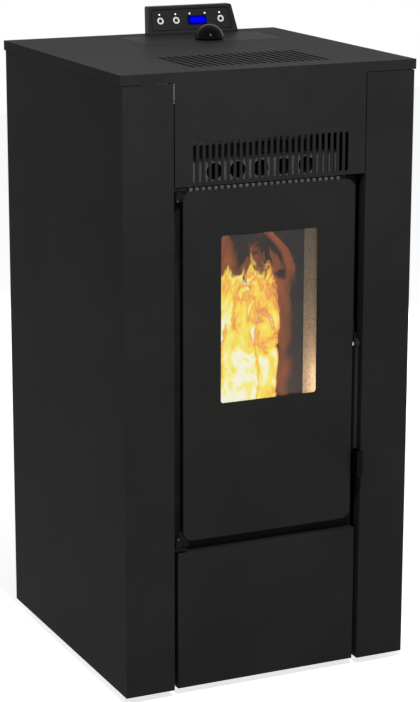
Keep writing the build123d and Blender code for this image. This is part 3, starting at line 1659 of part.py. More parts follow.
# A button's back stays clear of the board by its travel.
button_back = -board_depth + board_thickness + button_travel + seal_gap


def push_button(x):
    """A round push button: a dished cap with a skirt that guides it in the face plate."""
    cap = face_plane.offset(face_thickness - face_recess + button_proud)
    with BuildSketch(cap, mode=Mode.PRIVATE) as rim:
        with Locations((x, button_row)):
            Circle(button_radius)
    extrude(rim.sketch, amount=button_back - face_thickness + face_recess - button_proud)
    with BuildSketch(cap, mode=Mode.PRIVATE) as dish:
        with Locations((x, button_row)):
            Circle(button_dish_radius)
    extrude(dish.sketch, amount=-button_dish, mode=Mode.SUBTRACT)


button_left, button_middle, button_right = button_positions
with BuildPart() as control_button_left:
    push_button(button_left)
control_button_left.part.label = "control_button_left"
export_step(control_button_left.part, "parts/control_button_left.step")

with BuildPart() as control_button_middle:
    push_button(button_middle)
control_button_middle.part.label = "control_button_middle"
export_step(control_button_middle.part, "parts/control_button_middle.step")

with BuildPart() as control_button_right:
    push_button(button_right)
control_button_right.part.label = "control_button_right"
export_step(control_button_right.part, "parts/control_button_right.step")

# ---------------------------------------------------------------- electrics
socket_z = base + inlet_z
rocker_z = socket_z + rocker_rise
pin_zone = socket_z - rocker_rise
with BuildPart() as power_inlet:
    block(
        (inlet_x - socket_width / 2, inlet_x + socket_width / 2),
        (back_panel_back - socket_depth, back_panel_back),
        (socket_z - socket_height / 2, socket_z + socket_height / 2),
    )
    block(
        (inlet_x - socket_width / 2 - socket_flange, inlet_x + socket_width / 2 + socket_flange),
        (back_panel_back, back_panel_back + socket_lip),
        (socket_z - socket_height / 2 - socket_flange, socket_z + socket_height / 2 + socket_flange),
    )
    block(
        (inlet_x - socket_width / 2 + socket_lip, inlet_x + socket_width / 2 - socket_lip),
        (back_panel_back - socket_pocket, back_panel_back + socket_lip),
        (pin_zone - rocker_height / 2, pin_zone + rocker_height / 2 - socket_lip),
        mode=Mode.SUBTRACT,
    )
    block(
        (inlet_x - rocker_width / 2, inlet_x + rocker_width / 2),
        (back_panel_back - rocker_pocket, back_panel_back + socket_lip),
        (rocker_z - rocker_height / 2, rocker_z + rocker_height / 2),
        mode=Mode.SUBTRACT,
    )
    for pin, rise in ((-1, 0), (0, earth_pin_rise), (1, 0)):
        pin_x = inlet_x + pin * rocker_width / 2
        block(
            (pin_x - socket_pin_width / 2, pin_x + socket_pin_width / 2),
            (back_panel_back - socket_pocket, back_panel_back - socket_lip),
            (pin_zone + rise - socket_pin_height / 2, pin_zone + rise + socket_pin_height / 2),
        )
power_inlet.part.label = "power_inlet"
export_step(power_inlet.part, "parts/power_inlet.step")

# The mains rocker turns on its own middle in the inlet's upper recess.
rocker_y = back_panel_back - socket_lip
rocker_half = rocker_height / 2 - rocker_tilt_gap
with BuildPart() as mains_rocker:
    with BuildSketch(Plane.YZ.offset(inlet_x - rocker_width / 2 + fit)):
        Polygon(
            (rocker_y, rocker_z - rocker_half),
            (rocker_y + rocker_crest, rocker_z - rocker_half),
            (rocker_y + rocker_valley, rocker_z),
            (rocker_y + rocker_low, rocker_z + rocker_half),
            (rocker_y - rocker_valley, rocker_z + rocker_half),
            (rocker_y - rocker_keel, rocker_z),
            align=None,
        )
    extrude(amount=rocker_width - 2 * fit)
mains_rocker.part.label = "mains_rocker"
export_step(mains_rocker.part, "parts/mains_rocker.step")

# The main board stands on four posts on the left side panel, with a transformer and a relay.
board_x = -inner_half + standoff_length
board_y = front + main_board_setback
board_z = base + main_board_z
transformer_y = board_y - main_board_length / 4
relay_y = board_y + main_board_length / 4
post_span = (main_board_length - 2 * post_inset, main_board_height - 2 * post_inset)
with BuildPart() as main_board:
    block(
        (board_x, board_x + board_thickness),
        (board_y - main_board_length / 2, board_y + main_board_length / 2),
        (board_z - main_board_height / 2, board_z + main_board_height / 2),
    )
    block(
        (board_x + board_thickness, board_x + board_thickness + transformer_thickness),
        (transformer_y - transformer_width / 2, transformer_y + transformer_width / 2),
        (board_z - transformer_height / 2, board_z + transformer_height / 2),
    )
    block(
        (board_x + board_thickness, board_x + board_thickness + relay_thickness),
        (relay_y - relay_width / 2, relay_y + relay_width / 2),
        (board_z - relay_height / 2, board_z + relay_height / 2),
    )
    with BuildSketch(Plane.YZ.offset(-inner_half)):
        with Locations((board_y, board_z)):
            with GridLocations(*post_span, 2, 2):
                Circle(standoff_radius)
    extrude(amount=standoff_length)
main_board.part.label = "main_board"
export_step(main_board.part, "parts/main_board.step")
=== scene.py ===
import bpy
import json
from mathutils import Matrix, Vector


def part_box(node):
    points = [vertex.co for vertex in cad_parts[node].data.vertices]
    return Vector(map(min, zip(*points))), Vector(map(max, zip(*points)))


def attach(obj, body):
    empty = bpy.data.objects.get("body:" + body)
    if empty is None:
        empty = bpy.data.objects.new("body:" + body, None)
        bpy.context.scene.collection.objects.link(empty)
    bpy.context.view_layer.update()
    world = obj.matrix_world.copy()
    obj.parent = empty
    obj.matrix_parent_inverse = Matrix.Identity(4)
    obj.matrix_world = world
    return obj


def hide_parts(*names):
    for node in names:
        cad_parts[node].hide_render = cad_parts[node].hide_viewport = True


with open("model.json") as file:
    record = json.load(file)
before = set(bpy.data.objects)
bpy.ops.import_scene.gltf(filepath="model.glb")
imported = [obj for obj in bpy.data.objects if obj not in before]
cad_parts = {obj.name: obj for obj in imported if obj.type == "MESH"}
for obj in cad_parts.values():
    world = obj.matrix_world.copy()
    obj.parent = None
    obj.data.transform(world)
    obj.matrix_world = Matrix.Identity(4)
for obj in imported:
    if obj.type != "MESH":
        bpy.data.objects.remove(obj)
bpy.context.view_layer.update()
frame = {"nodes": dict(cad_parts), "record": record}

import json
import random
from math import cos, pi, radians, sin

import bmesh
import bpy
from mathutils import Matrix, Vector

# ---------------------------------------- base tray
# A folded tray of hot-dip galvanised sheet that carries the firebox and the side panels.
# The zinc froze in large flat crystals, so its grey changes in patches and it shines softly.
tray_edge = 0.6
spangle_mm = 9.0
zinc_dark, zinc_light = "8B8F91", "A9ACAE"
merge_gap, flat_angle, sharp_angle = 1e-6, 0.6, 35.0
bodies = frame["record"]["behaviour"]["bodies"]
body_of_node = {node: body for body, nodes in bodies.items() for node in nodes}


def srgb(code):
    """A hex colour as the linear values that a socket takes."""
    parts = [int(code[i:i + 2], 16) / 255 for i in (0, 2, 4)]
    linear = [p / 12.92 if p <= 0.04045 else ((p + 0.055) / 1.055) ** 2.4 for p in parts]
    return (*linear, 1.0)


def add(owner, kind, settings=None, links=None):
    """Add a node; settings name its options, inputs or ramp stops, and links say what feeds its inputs."""
    node = owner.node_tree.nodes.new("ShaderNode" + kind)
    for name, value in (settings or {}).items():
        if name == "stops":
            points = node.color_ramp.elements
            while len(points) < len(value):
                points.new(0.5)
            for point, (place, code) in zip(points, value):
                point.position = place
                point.color = srgb(code)
        elif isinstance(name, str) and name in node.bl_rna.properties:
            setattr(node, name, value)
        else:
            node.inputs[name].default_value = value
    for name, (source, output) in (links or {}).items():
        owner.node_tree.links.new(source.outputs[output], node.inputs[name])
    return node


def feed(owner, socket, source, output, shader="Principled BSDF"):
    """Link a node's output to an input of the owner's shader."""
    owner.node_tree.links.new(source.outputs[output], owner.node_tree.nodes[shader].inputs[socket])


def finish(name, values):
    """A material with one Principled shader, its even values set on the shader itself."""
    material = bpy.data.materials.new(name)
    material.use_nodes = True
    shader = material.node_tree.nodes["Principled BSDF"]
    for socket, value in values.items():
        shader.inputs[socket].default_value = value
    return material


def per_metre(size_mm):
    """Texture scale for a pattern that repeats about every size_mm."""
    return 1000.0 / size_mm


def piece(name, shape, materials, body, replaced=(), smooth=sharp_angle):
    """Turn a bmesh in millimetres into a finished piece in metres that rides on a body."""
    bmesh.ops.scale(shape, vec=(0.001, 0.001, 0.001), verts=shape.verts)
    mesh = bpy.data.meshes.new(name)
    shape.to_mesh(mesh)
    shape.free()
    for material in materials:
        mesh.materials.append(material)
    for face in mesh.polygons:
        face.use_smooth = True
    mesh.set_sharp_from_angle(angle=radians(smooth))
    thing = bpy.data.objects.new(name, mesh)
    bpy.context.scene.collection.objects.link(thing)
    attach(thing, body)
    if replaced:
        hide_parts(*replaced)
    return thing


def eased(node, edge, material):
    """A carried-over piece, merged, with each sharp edge eased by so many millimetres."""
    shape = bmesh.new()
    shape.from_mesh(frame["nodes"][node].data)
    bmesh.ops.remove_doubles(shape, verts=shape.verts, dist=merge_gap)
    bmesh.ops.dissolve_limit(shape, angle_limit=radians(flat_angle), verts=shape.verts, edges=shape.edges)
    bmesh.ops.scale(shape, vec=(1000, 1000, 1000), verts=shape.verts)
    thing = piece(node + "_eased", shape, [material], body_of_node[node], (node,))
    bevel = thing.modifiers.new("eased edges", "BEVEL")
    bevel.width = edge / 1000
    bevel.segments = 2
    bevel.limit_method = "ANGLE"
    bevel.angle_limit = radians(sharp_angle)
    bevel.harden_normals = True
    return thing


galvanised = finish("hot_dip_galvanised_sheet", {"Metallic": 1.0})
where = add(galvanised, "TexCoord")
crystals = add(galvanised, "TexVoronoi", {"Scale": per_metre(spangle_mm)}, {"Vector": (where, "Object")})
zinc = add(galvanised, "ValToRGB", {"stops": [(0.15, zinc_dark), (0.85, zinc_light)]},
           {"Fac": (crystals, "Color")})
feed(galvanised, "Base Color", zinc, "Color")
dull = add(galvanised, "MapRange", {"To Min": 0.32, "To Max": 0.55}, {"Value": (crystals, "Distance")})
feed(galvanised, "Roughness", dull, "Result")
eased("base_tray", tray_edge, galvanised)

# ---------------------------------------- levelling feet
# Four moulded rubber pads on threaded studs, set under the tray.
# Moulded rubber is matt and nearly black, with a faint grain and dust in it.
rubber_black, rubber_dust = "1B1B1A", "2C2B29"
rubber_grain_mm = 1.6  # the real grain is near 0.3 mm, drawn coarser so that it shows


def dress(material, *names):
    """Give carried-over pieces their material."""
    for name in names:
        mesh = frame["nodes"][name].data
        mesh.materials.clear()
        mesh.materials.append(material)
        for face in mesh.polygons:
            face.material_index = 0


rubber = finish("moulded_rubber", {"Roughness": 0.85, "Specular IOR Level": 0.3})
where = add(rubber, "TexCoord")
grain = add(rubber, "TexNoise", {"Scale": per_metre(rubber_grain_mm), "Detail": 3.0},
            {"Vector": (where, "Object")})
dust = add(rubber, "ValToRGB", {"stops": [(0.4, rubber_black), (0.8, rubber_dust)]}, {"Fac": (grain, "Fac")})
feed(rubber, "Base Color", dust, "Color")
bump = add(rubber, "Bump", {"Strength": 0.3, "Distance": 0.0002}, {"Height": (grain, "Fac")})
feed(rubber, "Normal", bump, "Normal")
dress(rubber, "levelling_feet")

# ---------------------------------------- casing panels
# Side panels, top cover, lower panel and back of folded steel sheet, 1.5 mm thick.
# Black polyester powder coat, sprayed and baked: satin, with a fine orange peel in it.
sheet_edge = 0.7
coat_black, coat_worn = "262626", "2C2C2B"
peel_mm = 4.0  # the real peel is near 1 mm, drawn coarser so that it shows
handling_mm = 160.0
powder_coat = finish(
    "black_powder_coat",
    {"Roughness": 0.6, "Specular IOR Level": 0.013, "Coat Weight": 0.028, "Coat Roughness": 0.24},
)
where = add(powder_coat, "TexCoord")
haze = add(powder_coat, "TexNoise", {"Scale": per_metre(handling_mm), "Detail": 4.0, "Roughness": 0.6},
           {"Vector": (where, "Object")})
black = add(powder_coat, "ValToRGB", {"stops": [(0.35, coat_black), (0.75, coat_worn)]},
            {"Fac": (haze, "Fac")})
feed(powder_coat, "Base Color", black, "Color")
peel = add(powder_coat, "TexNoise", {"Scale": per_metre(peel_mm), "Detail": 1.0},
           {"Vector": (where, "Object")})
bump = add(powder_coat, "Bump", {"Strength": 0.12, "Distance": 0.0004}, {"Height": (peel, "Fac")})
feed(powder_coat, "Normal", bump, "Normal")
feed(powder_coat, "Coat Normal", bump, "Normal")
for panel in ("left_side_panel", "right_side_panel", "top_cover", "lower_front_panel", "back_panel"):
    eased(panel, sheet_edge, powder_coat)

# ---------------------------------------- casing screws
# Eight pan-head screws hold the back panel, four up each side, and each head has a round recess in it.
# They are coated black with the panels.
screws_up, screw_sides = 4, 24
shank_radius, shank_length = 2.0, 4.4
head_radius, head_height, head_taper = 4.0, 2.0, 0.78
recess_radius, recess_depth, hair = 1.7, 1.2, 0.01


def box_mm(node):
    """A node's lowest and highest corners in millimetres."""
    return [corner * 1000 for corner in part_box(node)]


low, high = box_mm("casing_screws")
row_step = (high.z - low.z - 2 * head_radius) / (screws_up - 1)
facing_back = Matrix.Rotation(radians(-90), 4, "X")
shape = bmesh.new()
for x in (low.x + head_radius, high.x - head_radius):
    for row in range(screws_up):
        z = low.z + head_radius + row * row_step
        seat = Matrix.Translation((x, high.y - head_height, z)) @ facing_back
        head = bmesh.ops.create_cone(
            shape, cap_ends=True, segments=screw_sides, radius1=head_radius, radius2=head_radius * head_taper,
            depth=head_height, matrix=seat @ Matrix.Translation((0, 0, head_height / 2)),
        )["verts"]
        cap = [
            face for face in shape.faces
            if all(vert in head for vert in face.verts) and face.calc_center_median().y > high.y - hair
        ]
        bmesh.ops.create_cone(
            shape, cap_ends=True, segments=screw_sides, radius1=shank_radius, radius2=shank_radius,
            depth=shank_length, matrix=seat @ Matrix.Translation((0, 0, -shank_length / 2)),
        )
        bmesh.ops.inset_region(shape, faces=cap, thickness=head_radius * head_taper - recess_radius)
        well = bmesh.ops.extrude_face_region(shape, geom=cap)["geom"]
        well_floor = [vert for vert in well if isinstance(vert, bmesh.types.BMVert)]
        bmesh.ops.translate(shape, vec=(0, -recess_depth, 0), verts=well_floor)
        bmesh.ops.delete(shape, geom=cap, context="FACES_ONLY")
piece("casing_screws_headed", shape, [powder_coat], "root", ("casing_screws",))

# ---------------------------------------- hinge brackets, keeper and inner door frame
# Cut and folded steel plate, sprayed with heat-resistant silicone paint.
# The paint is dead matt and a little grey where it has been hot.
plate_edge = 0.5
stove_black, stove_grey = "0E0E0E", "20201F"
mottle_mm = 26.0
grit_mm = 2.2  # the real grit is near 0.2 mm, drawn coarser so that it shows
stove_paint = finish("silicone_stove_paint", {"Roughness": 0.78, "Specular IOR Level": 0.1})
where = add(stove_paint, "TexCoord")
mottle = add(stove_paint, "TexNoise", {"Scale": per_metre(mottle_mm), "Detail": 5.0, "Roughness": 0.65},
             {"Vector": (where, "Object")})
soot = add(stove_paint, "ValToRGB", {"stops": [(0.35, stove_black), (0.8, stove_grey)]},
           {"Fac": (mottle, "Fac")})
feed(stove_paint, "Base Color", soot, "Color")
grit = add(stove_paint, "TexNoise", {"Scale": per_metre(grit_mm), "Detail": 2.0},
           {"Vector": (where, "Object")})
bump = add(stove_paint, "Bump", {"Strength": 0.3, "Distance": 0.0003}, {"Height": (grit, "Fac")})
feed(stove_paint, "Normal", bump, "Normal")
for plate in ("hinge_brackets", "door_keeper", "door_inner_frame"):
    eased(plate, plate_edge, stove_paint)

# ---------------------------------------- firebox and its front frame
# Welded plate in the same paint, but the tube plate and the frame's top edge are bare aluminised sheet.
# Aluminised steel is a dull grey with a fine spangle, so light that gets in by the slots shows on it.
tube_plate_z, box_front_y = 829.5, -226.0
bare_strip_z, bare_strip_half = 821.0, 134.0
fine_spangle_mm = 3.0
plate_shades, frame_shades = ("454545", "565656"), ("585858", "6C6C6C")


def aluminised(name, shades):
    """Bare aluminised sheet in a darker or a lighter shade."""
    sheet = finish(name, {"Roughness": 0.55, "Specular IOR Level": 0.3})
    where = add(sheet, "TexCoord")
    spangle = add(sheet, "TexVoronoi", {"Scale": per_metre(fine_spangle_mm)}, {"Vector": (where, "Object")})
    grey = add(sheet, "ValToRGB", {"stops": [(0.2, shades[0]), (0.8, shades[1])]},
               {"Fac": (spangle, "Color")})
    feed(sheet, "Base Color", grey, "Color")
    return sheet


firebox = eased("firebox_shell", plate_edge, stove_paint)
firebox.data.materials.append(aluminised("aluminised_tube_plate", plate_shades))
for face in firebox.data.polygons:
    if face.center.z > tube_plate_z / 1000 and face.center.y < box_front_y / 1000:
        face.material_index = 1
door_frame = eased("front_frame", plate_edge, stove_paint)
door_frame.data.materials.append(aluminised("aluminised_frame_edge", frame_shades))
shape = bmesh.new()
shape.from_mesh(door_frame.data)
for spot, normal in (
    ((0, 0, bare_strip_z), (0, 0, 1)),
    ((-bare_strip_half, 0, 0), (1, 0, 0)),
    ((bare_strip_half, 0, 0), (1, 0, 0)),
):
    parts = shape.verts[:] + shape.edges[:] + shape.faces[:]
    bmesh.ops.bisect_plane(shape, geom=parts, plane_co=Vector(spot) / 1000, plane_no=normal)
for face in shape.faces:
    middle = face.calc_center_median() * 1000
    face.material_index = int(middle.z > bare_strip_z and abs(middle.x) < bare_strip_half)
shape.to_mesh(door_frame.data)
shape.free()

# ---------------------------------------- exchanger tubes and other stainless pieces
# Five drawn stainless tubes, the spigots, feed screw, blower wheels, exhaust housing, clips and igniter.
# They are brushed from front to back, and tinted straw and brown by heat.
steel_dark, steel_light, steel_straw = "77736E", "A8A5A0", "8C7A62"
brush_mm = 0.8  # the real lines are near 0.1 mm apart, drawn coarser so that they show
brush_stretch = 0.04
heat_tint_mm = 90.0
mix_a, mix_b, mix_result = 6, 7, 2  # the places of a Mix node's colour sockets
brushed_stainless = finish("brushed_stainless_steel", {"Metallic": 1.0})
where = add(brushed_stainless, "TexCoord")
along = add(brushed_stainless, "Mapping", {"Scale": (1.0, brush_stretch, 1.0)}, {"Vector": (where, "Object")})
lines = add(brushed_stainless, "TexNoise", {"Scale": per_metre(brush_mm), "Detail": 2.0},
            {"Vector": (along, "Vector")})
tint = add(brushed_stainless, "TexNoise", {"Scale": per_metre(heat_tint_mm), "Detail": 2.0},
           {"Vector": (where, "Object")})
tone = add(brushed_stainless, "ValToRGB", {"stops": [(0.3, steel_dark), (0.7, steel_light)]},
           {"Fac": (lines, "Fac")})
heat = add(brushed_stainless, "ValToRGB", {"stops": [(0.45, steel_light), (0.75, steel_straw)]},
           {"Fac": (tint, "Fac")})
mixed = add(brushed_stainless, "Mix", {"data_type": "RGBA", "blend_type": "MULTIPLY", "Factor": 0.5},
            {mix_a: (tone, "Color"), mix_b: (heat, "Color")})
feed(brushed_stainless, "Base Color", mixed, mix_result)
rub = add(brushed_stainless, "MapRange", {"To Min": 0.28, "To Max": 0.45}, {"Value": (lines, "Fac")})
feed(brushed_stainless, "Roughness", rub, "Result")
dress(brushed_stainless, "exchanger_tubes", "flue_outlet", "air_intake", "auger_screw", "exhaust_housing",
      "exhaust_impeller", "fan_impeller", "glass_clips", "igniter")

# ---------------------------------------- firebox lining
# Pressed vermiculite boards: pale cream flakes, dusty and matt.
# The side boards have burnt clean, and the back board is brown-black with soot.
board_cream, board_tan, board_soot, board_ember = "D9D0BC", "B7AB94", "1B1715", "2C201B"
lining_edge = 0.8
flake_mm, soot_cloud_mm = 3.2, 70.0
back_board_y = -117.0
vermiculite = finish("pressed_vermiculite", {"Roughness": 0.95, "Specular IOR Level": 0.15})
where = add(vermiculite, "TexCoord")
flakes = add(vermiculite, "TexVoronoi", {"Scale": per_metre(flake_mm)}, {"Vector": (where, "Object")})
cream = add(vermiculite, "ValToRGB", {"stops": [(0.1, board_tan), (0.6, board_cream)]},
            {"Fac": (flakes, "Color")})
smoke = add(vermiculite, "TexNoise", {"Scale": per_metre(soot_cloud_mm), "Detail": 4.0},
            {"Vector": (where, "Object")})
sooted = add(vermiculite, "ValToRGB", {"stops": [(0.35, board_soot), (0.75, board_ember)]},
             {"Fac": (smoke, "Fac")})
axes = add(vermiculite, "SeparateXYZ", links={"Vector": (where, "Object")})
at_back = add(vermiculite, "Math", {"operation": "GREATER_THAN", 1: back_board_y / 1000}, {0: (axes, "Y")})
board = add(vermiculite, "Mix", {"data_type": "RGBA"},
            {"Factor": (at_back, "Value"), mix_a: (cream, "Color"), mix_b: (sooted, "Color")})
feed(vermiculite, "Base Color", board, mix_result)
bump = add(vermiculite, "Bump", {"Strength": 0.5, "Distance": 0.0005}, {"Height": (flakes, "Distance")})
feed(vermiculite, "Normal", bump, "Normal")
eased("firebox_lining", lining_edge, vermiculite)

# ---------------------------------------- flame baffle and burn pot
# Sand-cast iron: a baffle plate over the fire and a drilled pot under it.
# The cast skin is pebbled and black with soot, brown where it has scaled.
baffle_edge, pot_edge = 1.0, 1.4
iron_black, iron_brown = "1C1917", "3A2A20"
cast_mm = 2.4  # the real skin is near 0.8 mm, drawn coarser so that it shows
cast_iron = finish("sand_cast_iron", {"Roughness": 0.8, "Metallic": 0.2, "Specular IOR Level": 0.3})
where = add(cast_iron, "TexCoord")
skin = add(cast_iron, "TexNoise", {"Scale": per_metre(cast_mm), "Detail": 4.0, "Roughness": 0.7},
           {"Vector": (where, "Object")})
scale = add(cast_iron, "ValToRGB", {"stops": [(0.4, iron_black), (0.8, iron_brown)]}, {"Fac": (skin, "Fac")})
feed(cast_iron, "Base Color", scale, "Color")
bump = add(cast_iron, "Bump", {"Strength": 0.6, "Distance": 0.0006}, {"Height": (skin, "Fac")})
feed(cast_iron, "Normal", bump, "Normal")
eased("flame_baffle", baffle_edge, cast_iron)
eased("burn_pot", pot_edge, cast_iron)

# ---------------------------------------- other galvanised pieces
# Shelf, ash pan, hopper, ducts and feed tube, folded or rolled from the same zinc-coated sheet as the tray.
# The shelf and the pan show through the open door, so their folds are eased.
fold_edge = 0.5
for folded in ("pot_shelf", "ash_pan"):
    eased(folded, fold_edge, galvanised)
dress(galvanised, "hopper", "air_duct", "smoke_duct", "fan_housing", "auger_tube", "pellet_chute")

# ---------------------------------------- motors
# The feed motor with its gearbox and the two blower motors, closed in shells of pressed steel.
# The shells have a satin grey enamel that ran a little as it was baked, so its grey drifts.
shell_grey, shell_dark = "4B4C4F", "3A3B3D"
enamel_flow_mm = 18.0
enamel = finish("grey_motor_enamel", {"Roughness": 0.4, "Specular IOR Level": 0.4})
where = add(enamel, "TexCoord")
flow = add(enamel, "TexNoise", {"Scale": per_metre(enamel_flow_mm), "Detail": 3.0},
           {"Vector": (where, "Object")})
grey = add(enamel, "ValToRGB", {"stops": [(0.35, shell_dark), (0.7, shell_grey)]}, {"Fac": (flow, "Fac")})
feed(enamel, "Base Color", grey, "Color")
dress(enamel, "auger_gearmotor", "exhaust_motor", "fan_motor")

# ---------------------------------------- door and hopper lid
# The door is a laser-cut 3 mm plate, and the hopper lid is cut from the cover's sheet.
# Both have the satin heat-resistant black, slightly finer than the casing's coat.
door_edge, lid_edge = 0.8, 0.6
door_black, door_worn = "262626", "2A2A29"
door_handling_mm = 120.0
door_peel_mm = 3.0  # the real peel is near 0.8 mm, drawn coarser so that it shows
door_paint = finish(
    "satin_heat_resistant_black",
    {"Roughness": 0.55, "Specular IOR Level": 0.02, "Coat Weight": 0.028, "Coat Roughness": 0.22},
)
where = add(door_paint, "TexCoord")
haze = add(door_paint, "TexNoise", {"Scale": per_metre(door_handling_mm), "Detail": 4.0},
           {"Vector": (where, "Object")})
black = add(door_paint, "ValToRGB", {"stops": [(0.35, door_black), (0.75, door_worn)]},
            {"Fac": (haze, "Fac")})
feed(door_paint, "Base Color", black, "Color")
peel = add(door_paint, "TexNoise", {"Scale": per_metre(door_peel_mm), "Detail": 1.0},
           {"Vector": (where, "Object")})
bump = add(door_paint, "Bump", {"Strength": 0.1, "Distance": 0.0003}, {"Height": (peel, "Fac")})
feed(door_paint, "Normal", bump, "Normal")
feed(door_paint, "Coat Normal", bump, "Normal")
eased("door_panel", door_edge, door_paint)
eased("hopper_lid", lid_edge, door_paint)

# ---------------------------------------- glass
# A pane of ceramic glass, 4 mm thick, ground and polished, very slightly smoky.
# Its surfaces reflect weakly, so the fire shows through with only a thin grey veil.
film_mm = 45.0
glass_tint = "F4F0EA"
ceramic_glass = finish(
    "ceramic_glass", {"Base Color": srgb(glass_tint), "IOR": 1.36, "Transmission Weight": 1.0},
)
where = add(ceramic_glass, "TexCoord")
film = add(ceramic_glass, "TexNoise", {"Scale": per_metre(film_mm), "Detail": 3.0},
           {"Vector": (where, "Object")})
veil = add(ceramic_glass, "MapRange", {"To Min": 0.0, "To Max": 0.02}, {"Value": (film, "Fac")})
feed(ceramic_glass, "Roughness", veil, "Result")
dress(ceramic_glass, "door_glass")

# ---------------------------------------- seals
# Braided glass-fibre rope round the door, and flat woven tape under the glass and the lid.
# The strands are grey-white and dull, in a crossed weave.
rope_dark, rope_light = "4D4A45", "8C877D"
strand_mm, weave_coarser = 2.6, 20  # the real strands, and how much coarser they are drawn so that they show
ring_sides, corner_steps, least_bend, rope_smooth = 12, 6, 0.5, 80
glass_rope = finish(
    "braided_glass_fibre", {"Roughness": 0.95, "Specular IOR Level": 0.1, "Sheen Weight": 0.3},
)
weave = {"Scale": per_metre(strand_mm * weave_coarser), "bands_direction": "DIAGONAL", "Distortion": 0.6}
where = add(glass_rope, "TexCoord")
turned = add(glass_rope, "Mapping", {"Rotation": (0.0, radians(90), 0.0)}, {"Vector": (where, "Object")})
weave_a = add(glass_rope, "TexWave", weave, {"Vector": (where, "Object")})
weave_b = add(glass_rope, "TexWave", weave, {"Vector": (turned, "Vector")})
crossed = add(glass_rope, "Math", {"operation": "MULTIPLY"}, {0: (weave_a, "Fac"), 1: (weave_b, "Fac")})
strands = add(glass_rope, "ValToRGB", {"stops": [(0.1, rope_dark), (0.7, rope_light)]},
              {"Fac": (crossed, "Value")})
feed(glass_rope, "Base Color", strands, "Color")
bump = add(glass_rope, "Bump", {"Strength": 0.8, "Distance": 0.0008}, {"Height": (crossed, "Value")})
feed(glass_rope, "Normal", bump, "Normal")


def ring_seal(node, corner, width, thickness, axis):
    """A closed ring of rope or tape on the node's outline, with a rounded section."""
    low, high = box_mm(node)
    middle = (low + high) / 2
    u, v, w = (0, 2, 1) if axis == "Y" else (0, 1, 2)
    half_u, half_v = (high[u] - low[u] - width) / 2, (high[v] - low[v] - width) / 2
    bend = max(corner - width / 2, least_bend)
    shape = bmesh.new()
    rings = []
    for quarter, (side_u, side_v) in enumerate(((1, 1), (-1, 1), (-1, -1), (1, -1))):
        for step in range(corner_steps + 1):
            turn = radians(90 * (quarter + step / corner_steps))
            at_u = middle[u] + (half_u - bend) * side_u + bend * cos(turn)
            at_v = middle[v] + (half_v - bend) * side_v + bend * sin(turn)
            ring = bmesh.ops.create_circle(shape, segments=ring_sides, radius=1.0)["verts"]
            for vert in ring:
                out, rise = vert.co.x * width / 2, vert.co.y * thickness / 2
                place = (at_u + out * cos(turn), at_v + out * sin(turn), middle[w] + rise)
                vert.co[u], vert.co[v], vert.co[w] = place
            rings.append([edge for edge in shape.edges if all(end in ring for end in edge.verts)])
    for first, second in zip(rings, rings[1:] + rings[:1]):
        bmesh.ops.bridge_loops(shape, edges=first + second)
    bmesh.ops.recalc_face_normals(shape, faces=shape.faces)
    return shape


door_rope = ring_seal("door_gasket", corner=17.0, width=10.0, thickness=9.8, axis="Y")
glass_tape = ring_seal("glass_gasket", corner=5.5, width=10.0, thickness=0.96, axis="Y")
lid_seal = ring_seal("lid_gasket", corner=3.5, width=6.0, thickness=4.1, axis="Z")
piece("door_rope", door_rope, [glass_rope], "door", ("door_gasket",), rope_smooth)
piece("glass_tape", glass_tape, [glass_rope], "door", ("glass_gasket",), rope_smooth)
piece("lid_seal", lid_seal, [glass_rope], "lid", ("lid_gasket",), rope_smooth)

# ---------------------------------------- handle bolt
# A turned mild steel bolt on which the lever swings.
# Its bright zinc plating is smooth and silvery, duller in the patches where it has worn.
bolt_edge = 0.5
plate_dark, plate_light = "8B8D90", "C6C7C8"
plate_wear_mm = 6.0
zinc_plate = finish("bright_zinc_plating", {"Metallic": 1.0})
where = add(zinc_plate, "TexCoord")
wear = add(zinc_plate, "TexNoise", {"Scale": per_metre(plate_wear_mm), "Detail": 4.0},
           {"Vector": (where, "Object")})
bright = add(zinc_plate, "ValToRGB", {"stops": [(0.3, plate_dark), (0.7, plate_light)]},
             {"Fac": (wear, "Fac")})
feed(zinc_plate, "Base Color", bright, "Color")
worn = add(zinc_plate, "MapRange", {"To Min": 0.15, "To Max": 0.35}, {"Value": (wear, "Fac")})
feed(zinc_plate, "Roughness", worn, "Result")
eased("handle_bolt", bolt_edge, zinc_plate)

# ---------------------------------------- hinge pins
# Turned steel pins in the brackets of the door and the lid.
# Dipped in black zinc, they are dark and dull, with faint grey clouds.
pin_dark, pin_grey = "2C2D2F", "46484A"
pin_cloud_mm = 5.0
black_zinc = finish("black_zinc_dip", {"Metallic": 1.0, "Roughness": 0.55})
where = add(black_zinc, "TexCoord")
cloud = add(black_zinc, "TexNoise", {"Scale": per_metre(pin_cloud_mm), "Detail": 3.0},
            {"Vector": (where, "Object")})
dipped = add(black_zinc, "ValToRGB", {"stops": [(0.35, pin_dark), (0.7, pin_grey)]}, {"Fac": (cloud, "Fac")})
feed(black_zinc, "Base Color", dipped, "Color")
dress(black_zinc, "hinge_pins")

# ---------------------------------------- door lever
# A flat steel bar, cut to shape with a round eye and sprayed with the door's paint.
# Its edges are eased, and catch a thin line of light.
lever_edge = 0.8
eased("handle_lever", lever_edge, door_paint)

